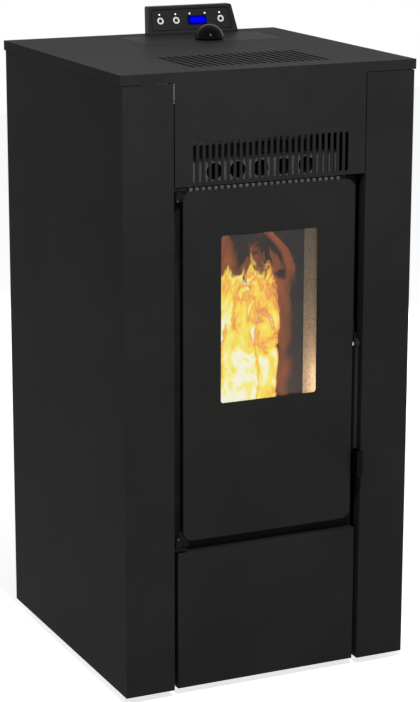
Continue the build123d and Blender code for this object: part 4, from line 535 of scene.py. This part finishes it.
# ---------------------------------------- finger spring in the casing groove
# A strip of plated spring steel with eight pressed fingers, pushed into the groove to earth the panels.
# It is polished bright, and each rounded finger catches a point of light.
finger_count, finger_round, finger_depth, finger_share = 8, 0.6, 1.8, 0.42
strip_thickness, strip_set_back = 0.7, 3 * finger_round
spring_steel_low, spring_steel_high = "F4F4F4", "FFFFFF"
draw_line_mm = 1.2
spring_smooth = 60
spring_steel = finish("polished_spring_steel", {"Metallic": 1.0, "Roughness": 0.18})
where = add(spring_steel, "TexCoord")
drawn = add(spring_steel, "TexNoise", {"Scale": per_metre(draw_line_mm), "Detail": 2.0},
            {"Vector": (where, "Object")})
steel = add(spring_steel, "ValToRGB", {"stops": [(0.3, spring_steel_low), (0.7, spring_steel_high)]},
            {"Fac": (drawn, "Fac")})
feed(spring_steel, "Base Color", steel, "Color")
low, high = box_mm("spring_clip")
middle = (low + high) / 2
finger_pitch = (high.z - low.z) / finger_count
finger_stretch = (1.0, finger_depth, finger_share * finger_pitch / finger_round)
shape = bmesh.new()
strip = bmesh.ops.create_cube(shape, size=1.0)["verts"]
strip_size = (strip_thickness, high.y - low.y - strip_set_back, high.z - low.z)
bmesh.ops.scale(shape, vec=strip_size, verts=strip)
bmesh.ops.translate(shape, vec=(middle.x, middle.y + strip_set_back / 2, middle.z), verts=strip)
for finger in range(finger_count):
    bead = bmesh.ops.create_uvsphere(shape, u_segments=12, v_segments=8, radius=finger_round)["verts"]
    bmesh.ops.scale(shape, vec=finger_stretch, verts=bead)
    spot = (middle.x, low.y + finger_depth * finger_round, low.z + (finger + 0.5) * finger_pitch)
    bmesh.ops.translate(shape, vec=spot, verts=bead)
piece("finger_spring", shape, [spring_steel], "root", ("spring_clip",), spring_smooth)

# ---------------------------------------- panel magnets
# Two ferrite blocks in pressed steel cups, fixed behind the lower panel to hold it by its face.
# The plain steel has a dull grey oil film, speckled where it has dried.
cup_dark, cup_light = "3E3E40", "5A5B5E"
cup_speck_mm = 3.0
steel_cup = finish("steel_cup_magnet", {"Metallic": 0.9, "Roughness": 0.5})
where = add(steel_cup, "TexCoord")
speck = add(steel_cup, "TexNoise", {"Scale": per_metre(cup_speck_mm), "Detail": 3.0},
            {"Vector": (where, "Object")})
oiled = add(steel_cup, "ValToRGB", {"stops": [(0.4, cup_dark), (0.7, cup_light)]}, {"Fac": (speck, "Fac")})
feed(steel_cup, "Base Color", oiled, "Color")
dress(steel_cup, "panel_magnets")

# ---------------------------------------- knobs
# The lid's dome and the door's oval grip are pressed from phenolic resin.
# They are polished to a deep, even black with only a weak reflection.
phenolic_black, phenolic_cloud = "040404", "0B0B0C"
phenolic_cloud_mm = 9.0
phenolic = finish("polished_phenolic", {"Roughness": 0.14, "Specular IOR Level": 0.05})
where = add(phenolic, "TexCoord")
depth = add(phenolic, "TexNoise", {"Scale": per_metre(phenolic_cloud_mm), "Detail": 2.0},
            {"Vector": (where, "Object")})
pitch = add(phenolic, "ValToRGB", {"stops": [(0.3, phenolic_black), (0.8, phenolic_cloud)]},
            {"Fac": (depth, "Fac")})
feed(phenolic, "Base Color", pitch, "Color")
dress(phenolic, "lid_knob", "handle_knob")

# ---------------------------------------- control housing, face, inlet and rocker
# Injection-moulded ABS, black, with a fine spark-eroded grain.
# The grain breaks up what it reflects, so it looks an even dark grey.
housing_edge, moulding_edge = 0.8, 0.3
abs_dark, abs_light = "131314", "1E1E20"
abs_grain_mm = 1.5  # the real grain is near 0.1 mm, drawn coarser so that it shows
moulded_abs = finish("moulded_black_abs", {"Roughness": 0.5, "Specular IOR Level": 0.15})
where = add(moulded_abs, "TexCoord")
grain = add(moulded_abs, "TexNoise", {"Scale": per_metre(abs_grain_mm), "Detail": 2.0},
            {"Vector": (where, "Object")})
tone = add(moulded_abs, "ValToRGB", {"stops": [(0.3, abs_dark), (0.8, abs_light)]}, {"Fac": (grain, "Fac")})
feed(moulded_abs, "Base Color", tone, "Color")
bump = add(moulded_abs, "Bump", {"Strength": 0.2, "Distance": 0.0002}, {"Height": (grain, "Fac")})
feed(moulded_abs, "Normal", bump, "Normal")
eased("control_housing", housing_edge, moulded_abs)
for moulding in ("control_face", "power_inlet", "mains_rocker"):
    eased(moulding, moulding_edge, moulded_abs)

# ---------------------------------------- ring buttons
# Three push caps of black ABS, each with a white ring moulded in round a dished middle.
# The ring is glossy, and the cap has a small bevel on its edge.
face_lean, cap_proud, cap_depth, cap_steps = 20.0, 0.4, 4.0, 40
cap_radius, ring_radius, dish_radius, dish_depth = 6.85, 6.1, 3.2, 0.7
dish_flat, dish_slope, ring_rise, cap_bevel, axis_gap = 0.7, 0.85, 0.25, 0.3, 0.01
button_row, button_places = 23.3, {"left": 27.0, "middle": 57.0, "right": 142.0}
ring_white, ring_bright = "E6E6E3", "F4F4F2"
ring_tint_mm = 4.0
housing_low = box_mm("control_housing")[0]
face_turn = Matrix.Rotation(radians(90 - face_lean), 4, "X")
on_face = Matrix.Translation((0, housing_low.y, housing_low.z)) @ face_turn
button_white = finish("glossy_white_abs", {"Roughness": 0.3, "Specular IOR Level": 0.4})
where = add(button_white, "TexCoord")
tint = add(button_white, "TexNoise", {"Scale": per_metre(ring_tint_mm)}, {"Vector": (where, "Object")})
white = add(button_white, "ValToRGB", {"stops": [(0.3, ring_white), (0.7, ring_bright)]},
            {"Fac": (tint, "Fac")})
feed(button_white, "Base Color", white, "Color")
cap_profile = [
    (axis_gap, cap_proud - dish_depth),
    (dish_radius * dish_flat, cap_proud - dish_depth * dish_slope),
    (dish_radius, cap_proud),
    (dish_radius + ring_rise, cap_proud + ring_rise),
    (ring_radius - cap_bevel, cap_proud + ring_rise),
    (ring_radius, cap_proud),
    (cap_radius - cap_bevel, cap_proud),
    (cap_radius, cap_proud - cap_bevel),
    (cap_radius, cap_proud - cap_depth),
    (axis_gap, cap_proud - cap_depth),
]
for side, along in button_places.items():
    shape = bmesh.new()
    points = [shape.verts.new((radius, 0, height)) for radius, height in cap_profile]
    edges = [shape.edges.new(pair) for pair in zip(points, points[1:])]
    bmesh.ops.spin(
        shape, geom=points + edges, axis=(0, 0, 1), cent=(0, 0, 0), angle=2 * pi, steps=cap_steps,
        use_merge=True,
    )
    bmesh.ops.remove_doubles(shape, verts=shape.verts, dist=2 * axis_gap)
    bmesh.ops.recalc_face_normals(shape, faces=shape.faces)
    for face in shape.faces:
        middle = face.calc_center_median()
        face.material_index = int(dish_radius < middle.xy.length < ring_radius and middle.z > 0)
    bmesh.ops.transform(shape, matrix=on_face @ Matrix.Translation((along, button_row, 0)), verts=shape.verts)
    piece(f"ring_button_{side}", shape, [moulded_abs, button_white], f"button_{side}",
          (f"control_button_{side}",))

# ---------------------------------------- indicator lights
# Five clear domed lenses over white lamps, each in a black collar pressed into the face.
# The lamps are lit, so the lenses look a flat bright white.
lens_radius, lens_flat, collar_radius, collar_depth, collar_sunk = 1.45, 0.55, 2.0, 4.0, 0.05
lens_row, lens_places = 34.5, (26.5, 57.0, 84.0, 113.0, 141.0)
lens_white, lens_bright = "E8E8EC", "FFFFFF"
lens_tint_mm = 3.0
lit_lens = finish("lit_white_lens", {"Roughness": 0.2, "Emission Strength": 1.0})
where = add(lit_lens, "TexCoord")
tint = add(lit_lens, "TexNoise", {"Scale": per_metre(lens_tint_mm)}, {"Vector": (where, "Object")})
glow = add(lit_lens, "ValToRGB", {"stops": [(0.3, lens_white), (0.7, lens_bright)]}, {"Fac": (tint, "Fac")})
feed(lit_lens, "Base Color", glow, "Color")
feed(lit_lens, "Emission Color", glow, "Color")
shape = bmesh.new()
for along in lens_places:
    dome = bmesh.ops.create_uvsphere(shape, u_segments=16, v_segments=10, radius=lens_radius)["verts"]
    bmesh.ops.scale(shape, vec=(1, 1, lens_flat), verts=dome)
    collar = bmesh.ops.create_cone(
        shape, cap_ends=True, segments=20, radius1=collar_radius, radius2=collar_radius, depth=collar_depth,
    )["verts"]
    bmesh.ops.translate(shape, vec=(0, 0, -collar_depth / 2 - collar_sunk), verts=collar)
    for face in {face for vert in collar for face in vert.link_faces}:
        face.material_index = 1
    bmesh.ops.transform(shape, matrix=on_face @ Matrix.Translation((along, lens_row, 0)), verts=dome + collar)
piece("lamp_lenses", shape, [lit_lens, moulded_abs], "root", ("indicator_lights",))

# ---------------------------------------- display window
# A dark clear window over a blue backlit display, which glows in the middle of the pane.
# The light bleeds out softly towards the edges of the lit part.
lit_left, lit_right, lit_low, lit_high, lit_fade = 78.5, 118.0, 12.5, 33.0, 8.0
pane_grey, pane_lit, blue_dim, blue_full = "1B1B1D", "010104", "000070", "0000FF"
display_tint_mm, tint_share, tint_base = 14.0, 0.2, 0.9
face_rise = cos(radians(face_lean))
soft_step = {"interpolation_type": "SMOOTHSTEP"}
display = finish(
    "backlit_blue_display", {"Roughness": 0.3, "Specular IOR Level": 0.0, "Emission Strength": 1.0},
)
where = add(display, "TexCoord")
tint = add(display, "TexNoise", {"Scale": per_metre(display_tint_mm)}, {"Vector": (where, "Object")})
axes = add(display, "SeparateXYZ", links={"Vector": (where, "Object")})
lit = add(display, "Math", {"operation": "MULTIPLY_ADD", 1: tint_share, 2: tint_base}, {0: (tint, "Fac")})
for axis, edge, inside in (
    ("X", lit_left, lit_left + lit_fade),
    ("X", lit_right, lit_right - lit_fade),
    ("Z", housing_low.z + lit_low * face_rise, housing_low.z + (lit_low + lit_fade) * face_rise),
    ("Z", housing_low.z + lit_high * face_rise, housing_low.z + (lit_high - lit_fade) * face_rise),
):
    fade = add(display, "MapRange", {**soft_step, "From Min": edge / 1000, "From Max": inside / 1000},
               {"Value": (axes, axis)})
    lit = add(display, "Math", {"operation": "MULTIPLY"}, {0: (lit, "Value"), 1: (fade, "Result")})
glow = add(display, "ValToRGB", {"stops": [(0.0, "000000"), (0.5, blue_dim), (0.95, blue_full)]},
           {"Fac": (lit, "Value")})
feed(display, "Emission Color", glow, "Color")
pane = add(display, "ValToRGB", {"stops": [(0.0, pane_grey), (0.4, pane_lit)]}, {"Fac": (lit, "Value")})
feed(display, "Base Color", pane, "Color")
dress(display, "display_window")

# ---------------------------------------- circuit boards
# Two boards of glass-epoxy laminate, etched and dipped in green lacquer.
# The lacquer is glossy, and paler over the copper tracks.
board_green, board_deep, copper_green = "12502A", "0D3F21", "1C6B3A"
cell_mm = 25.0  # two copper fields wide and four high
lacquer = finish("green_board_lacquer", {"Roughness": 0.35})
where = add(lacquer, "TexCoord")
tracks = add(lacquer, "TexBrick",
             {"Scale": per_metre(cell_mm), "Color1": srgb(board_green), "Color2": srgb(board_deep),
              "Mortar": srgb(copper_green)}, {"Vector": (where, "Object")})
feed(lacquer, "Base Color", tracks, "Color")
dress(lacquer, "main_board", "control_board")

# ---------------------------------------- pellets and embers
# A bed of pressed wood pellets burns in the pot: 6 mm sticks of sawdust, dropped in by the feed screw.
# They are charred black, with orange edges where they glow.
pellet_radius, pellet_sides, pellet_count = 3.0, 8, 110
pellet_short, pellet_long, tilt_least, tilt_most = 9, 17, 50, 130
bed_half_x, bed_half_y, bed_top, bed_bottom = 38, 28, 12, 34
char_black, char_brown = "1A1210", "6B4630"
ember_stops = [(0.4, "2A0A04"), (0.52, "FF6A18"), (0.66, "FFE08A")]
ember_mm = 9.0
low, high = box_mm("burn_pot")
pot_middle, pot_rim = (low + high) / 2, high.z
random.seed(7)
ember = finish("burning_wood_pellet", {"Roughness": 0.9, "Emission Strength": 1.0})
where = add(ember, "TexCoord")
coal = add(ember, "TexNoise", {"Scale": per_metre(ember_mm), "Detail": 4.0, "Roughness": 0.7},
           {"Vector": (where, "Object")})
char = add(ember, "ValToRGB", {"stops": [(0.3, char_black), (0.7, char_brown)]}, {"Fac": (coal, "Fac")})
feed(ember, "Base Color", char, "Color")
hot = add(ember, "ValToRGB", {"stops": ember_stops}, {"Fac": (coal, "Fac")})
feed(ember, "Emission Color", hot, "Color")
shape = bmesh.new()
for _ in range(pellet_count):
    spin = Matrix.Rotation(random.uniform(0, 2 * pi), 4, "Z")
    tilt = Matrix.Rotation(radians(random.uniform(tilt_least, tilt_most)), 4, "X")
    spot = (
        pot_middle.x + random.uniform(-bed_half_x, bed_half_x),
        pot_middle.y + random.uniform(-bed_half_y, bed_half_y),
        pot_rim - random.uniform(bed_top, bed_bottom),
    )
    bmesh.ops.create_cone(
        shape, cap_ends=True, segments=pellet_sides, radius1=pellet_radius, radius2=pellet_radius,
        depth=random.uniform(pellet_short, pellet_long), matrix=Matrix.Translation(spot) @ spin @ tilt,
    )
piece("pellet_bed", shape, [ember], "root")

# ---------------------------------------- flame
# Burning gas over the pot: thin curling sheets of soot that glow, white-hot low down and orange at the tips.
# Each sheet is open and curved, and fades out at its edges; thin red-brown smoke glows behind and above.
flame_stops = [
    (0.00, "2A0E06"), (0.15, "703A18"), (0.28, "B05C2C"), (0.40, "F08A48"), (0.50, "FFB848"),
    (0.60, "FFDC4E"), (0.76, "FFF064"), (0.90, "FFFAA0"), (1.00, "FFFFE8"),
]
curl_mm, curl_draw = 26.0, 0.6
heat_thin, heat_dense, rim_soft = 0.26, 0.52, 0.08
tip_gone, tip_whole, tip_ragged = 1.24, 1.16, 0.8
foot_pinch, pinch_height, tip_arch = 0.25, 0.3, 0.2
ripple, ripple_up, ripple_across = 0.25, 7, 3
sway_waves, twist_degrees = 1.6, 10
flame_sunk = 14
flame_foot = pot_rim - flame_sunk


def flame_gas(name, seat, warmth, foot_heat, tip_heat, wild, cover, core=0.3, root=0.06):
    """Glowing gas whose heat falls towards the edges and the tip of the sheet's UV map."""
    gas = finish(name, {"Base Color": srgb("000000"), "Roughness": 1.0, "Specular IOR Level": 0.0,
                        "Emission Strength": 1.0})
    sheet = add(gas, "UVMap", {"uv_map": "flame"})
    across = add(gas, "SeparateXYZ", links={"Vector": (sheet, "UV")})
    where = add(gas, "TexCoord")
    drawn = add(gas, "Mapping", {"Location": (seat, seat * 2, 0), "Scale": (1.0, 1.0, curl_draw)},
                {"Vector": (where, "Object")})
    curl = add(gas, "TexNoise",
               {"Scale": per_metre(curl_mm), "Detail": 5.0, "Roughness": 0.58, "Distortion": 0.9},
               {"Vector": (drawn, "Vector")})
    side = add(gas, "Math", {"operation": "SUBTRACT", 1: 0.5}, {0: (across, "X")})
    away = add(gas, "Math", {"operation": "ABSOLUTE"}, {0: (side, "Value")})
    body = add(gas, "MapRange", {**soft_step, "From Min": 0.5, "From Max": core}, {"Value": (away, "Value")})
    tall = add(gas, "MapRange", {"To Min": foot_heat, "To Max": tip_heat}, {"Value": (across, "Y")})
    base = add(gas, "Math", {"operation": "MULTIPLY"}, {0: (body, "Result"), 1: (tall, "Result")})
    swirl = add(gas, "MapRange", {"From Min": 0.3, "From Max": 0.7, "To Min": -wild, "To Max": wild},
                {"Value": (curl, "Fac")})
    heat = add(gas, "Math", {"operation": "ADD"}, {0: (base, "Value"), 1: (swirl, "Result")})
    level = add(gas, "Math", {"operation": "MULTIPLY", 1: warmth}, {0: (heat, "Value")})
    colour = add(gas, "ValToRGB", {"stops": flame_stops}, {"Fac": (level, "Value")})
    feed(gas, "Emission Color", colour, "Color")
    shown = add(gas, "MapRange",
                {**soft_step, "From Min": heat_thin, "From Max": heat_dense, "To Max": cover},
                {"Value": (heat, "Value")})
    rim = add(gas, "MapRange", {**soft_step, "From Min": 0.5, "From Max": core + rim_soft},
              {"Value": (away, "Value")})
    ragged = add(gas, "Math", {"operation": "MULTIPLY_ADD", 1: tip_ragged},
                 {0: (curl, "Fac"), 2: (across, "Y")})
    tip = add(gas, "MapRange", {**soft_step, "From Min": tip_gone, "From Max": tip_whole},
              {"Value": (ragged, "Value")})
    foot = add(gas, "MapRange", {**soft_step, "From Min": 0.0, "From Max": root}, {"Value": (across, "Y")})
    for fade in (rim, tip, foot):
        shown = add(gas, "Math", {"operation": "MULTIPLY"}, {0: (shown, 0), 1: (fade, "Result")})
    feed(gas, "Alpha", shown, "Value")
    return gas


def flame_sheet(name, gas, foot, height, width, taper, lean, sway, bulge, turn):
    """One sheet of flame: a grid stood on its foot, tapered, bowed, swayed and turned.

    It casts no shadow and lights nothing, as the fire lamps do that.
    """
    shape = bmesh.new()
    shape.loops.layers.uv.new("flame")
    bmesh.ops.create_grid(shape, x_segments=12, y_segments=28, size=0.5, calc_uvs=True)
    for vert in shape.verts:
        u, v = vert.co.x, vert.co.y + 0.5
        pinch = foot_pinch * (1 - min(v / pinch_height, 1)) ** 2
        across = u * width * (1 - pinch - taper * v ** 2)
        depth = bulge * (1 - (2 * u) ** 2) + ripple * bulge * sin(ripple_up * v + ripple_across * u)
        drift = lean * v + sway * sin(pi * sway_waves * v + turn) * v
        vert.co = (
            foot[0] + drift + across * cos(radians(turn * twist_degrees)),
            foot[1] - depth + across * sin(radians(turn * twist_degrees)),
            foot[2] + height * v * (1 - tip_arch * (2 * u) ** 2 * v),
        )
    thing = piece(name, shape, [gas], "root", smooth=180.0)
    thing.visible_shadow = False
    thing.visible_diffuse = False


gas_body = flame_gas("glowing_soot_body", seat=0.0, warmth=0.97, foot_heat=0.98, tip_heat=0.60,
                     wild=0.46, cover=1.0)
gas_hot = flame_gas("glowing_soot_hot", seat=0.37, warmth=0.96, foot_heat=1.12, tip_heat=0.56,
                    wild=0.40, cover=1.0)
gas_tongue = flame_gas("glowing_soot_tongue", seat=0.81, warmth=0.92, foot_heat=0.95, tip_heat=0.50,
                       wild=0.42, cover=1.0)
gas_smoke = flame_gas("glowing_smoke", seat=0.55, warmth=0.30, foot_heat=0.50, tip_heat=0.72,
                      wild=0.22, cover=0.9)
gas_haze = flame_gas("thin_smoke", seat=0.23, warmth=0.29, foot_heat=0.60, tip_heat=0.85,
                     wild=0.20, cover=0.85, core=0.1, root=0.3)
flame_sheet("smoke_back", gas_smoke, foot=(58, -124, flame_foot - 30), height=330, width=136,
            taper=0.1, lean=0, sway=0, bulge=-4, turn=0.0)
flame_sheet("flame_back", gas_body, foot=(4, -140, flame_foot), height=292, width=166,
            taper=0.1, lean=16, sway=4, bulge=-8, turn=0.4)
flame_sheet("flame_middle", gas_body, foot=(8, -158, flame_foot), height=262, width=128,
            taper=0.3, lean=14, sway=8, bulge=10, turn=-0.6)
flame_sheet("flame_left", gas_hot, foot=(-36, -168, flame_foot), height=270, width=96,
            taper=0.3, lean=-6, sway=8, bulge=12, turn=1.5)
flame_sheet("flame_right", gas_tongue, foot=(32, -170, flame_foot), height=250, width=64,
            taper=0.5, lean=8, sway=6, bulge=8, turn=-1.8)
flame_sheet("flame_front", gas_hot, foot=(-22, -184, flame_foot), height=190, width=100,
            taper=0.6, lean=6, sway=8, bulge=12, turn=0.3)
flame_sheet("smoke_left", gas_haze, foot=(-16, -127, flame_foot + 150), height=160, width=124,
            taper=0.35, lean=-4, sway=6, bulge=-4, turn=0.8)
flame_sheet("smoke_right", gas_haze, foot=(92, -165, flame_foot + 190), height=140, width=36,
            taper=0.3, lean=-52, sway=24, bulge=4, turn=0.0)

# ---------------------------------------- ground and backdrop
# A studio of white paper: the ground keeps a soft shadow, and the backdrop is plain white to the eye.
# Glass and gloss see that white too, but the backdrop lights the stove only dimly.
backdrop_light, ground_half = 0.26, 6.0
paper_shade, paper_glow = "F2F2F2", 0.7  # the lamps add the rest of its white


def seen_rays(owner):
    """One for the rays of the eye, of gloss and of glass, and nought for the rest."""
    rays = add(owner, "LightPath")
    seen = add(owner, "Math", {"operation": "ADD"}, {0: (rays, "Is Camera Ray"), 1: (rays, "Is Glossy Ray")})
    return add(owner, "Math", {"operation": "ADD", "use_clamp": True},
               {0: (seen, "Value"), 1: (rays, "Is Transmission Ray")})


backdrop = bpy.data.worlds.new("studio")
bpy.context.scene.world = backdrop
backdrop.use_nodes = True
seen = seen_rays(backdrop)
level = add(backdrop, "MapRange", {"To Min": backdrop_light, "To Max": 1.0}, {"Value": (seen, "Value")})
backdrop.node_tree.nodes["Background"].inputs["Color"].default_value = srgb("FFFFFF")
feed(backdrop, "Strength", level, "Result", "Background")

paper = finish(
    "matt_white_paper",
    {"Base Color": srgb(paper_shade), "Roughness": 0.9, "Specular IOR Level": 0.0,
     "Emission Color": srgb("FFFFFF")},
)
shine = add(paper, "Math", {"operation": "MULTIPLY", 1: paper_glow}, {0: (seen_rays(paper), "Value")})
feed(paper, "Emission Strength", shine, "Value")
shape = bmesh.new()
bmesh.ops.create_grid(shape, x_segments=1, y_segments=1, size=ground_half)
ground_mesh = bpy.data.meshes.new("ground")
shape.to_mesh(ground_mesh)
shape.free()
ground_mesh.materials.append(paper)
ground = bpy.data.objects.new("ground", ground_mesh)
bpy.context.scene.collection.objects.link(ground)

# ---------------------------------------- lamps
# A small key lamp high in front draws crisp shadows, and a soft fill stands low behind on the right.
# Two warm lamps in the flame light the firebox, hidden from the eye, from gloss and from glass.


def lamp_panel(name, place, aim, size, power):
    """A square soft lamp at a place, aimed at a point, with its power in watts."""
    light = bpy.data.lights.new(name, "AREA")
    light.size = size
    light.energy = power
    thing = bpy.data.objects.new(name, light)
    facing = (Vector(place) - Vector(aim)).to_track_quat("Z", "Y").to_matrix().to_4x4()
    thing.matrix_world = Matrix.Translation(place) @ facing
    bpy.context.scene.collection.objects.link(thing)


def fire_light(name, place, power, colour, radius):
    """A warm lamp inside the flame."""
    light = bpy.data.lights.new(name, "POINT")
    light.energy = power
    light.color = srgb(colour)[:3]
    light.shadow_soft_size = radius
    thing = bpy.data.objects.new(name, light)
    thing.location = place
    thing.visible_camera = False
    thing.visible_glossy = False
    thing.visible_transmission = False
    bpy.context.scene.collection.objects.link(thing)


lamp_panel("key", place=(-0.28, -1.47, 2.1), aim=(0, -0.26, 0.85), size=0.09, power=28)
lamp_panel("fill behind", place=(1.3, 2.2, 0.55), aim=(0, 0.1, 0.5), size=0.7, power=20)
fire_light("fire low", place=(0.086, -0.185, 0.462), power=0.32, colour="FFDCBC", radius=0.012)
fire_light("fire high", place=(0.0, -0.165, 0.60), power=0.02, colour="FFB070", radius=0.03)

# ---------------------------------------- camera
# It stands in front and to the left, higher than the stove, and looks down through a long lens.
# Its place was fitted to the corners of the casing, the door and the window.
camera_place = (-1.57451, -3.41625, 1.45305)
camera_azimuth, camera_elevation, camera_roll = radians(-25.01), radians(14.23), radians(0.12)
camera = bpy.data.cameras.new("camera")
camera.lens = 117.2
camera.sensor_width = 36.0
viewer = bpy.data.objects.new("camera", camera)
viewer.matrix_world = (
    Matrix.Translation(camera_place)
    @ Matrix.Rotation(camera_azimuth, 4, "Z")
    @ Matrix.Rotation(pi / 2 - camera_elevation, 4, "X")
    @ Matrix.Rotation(camera_roll, 4, "Z")
)
bpy.context.scene.collection.objects.link(viewer)
bpy.context.scene.camera = viewer
bpy.context.scene.view_settings.view_transform = "Standard"
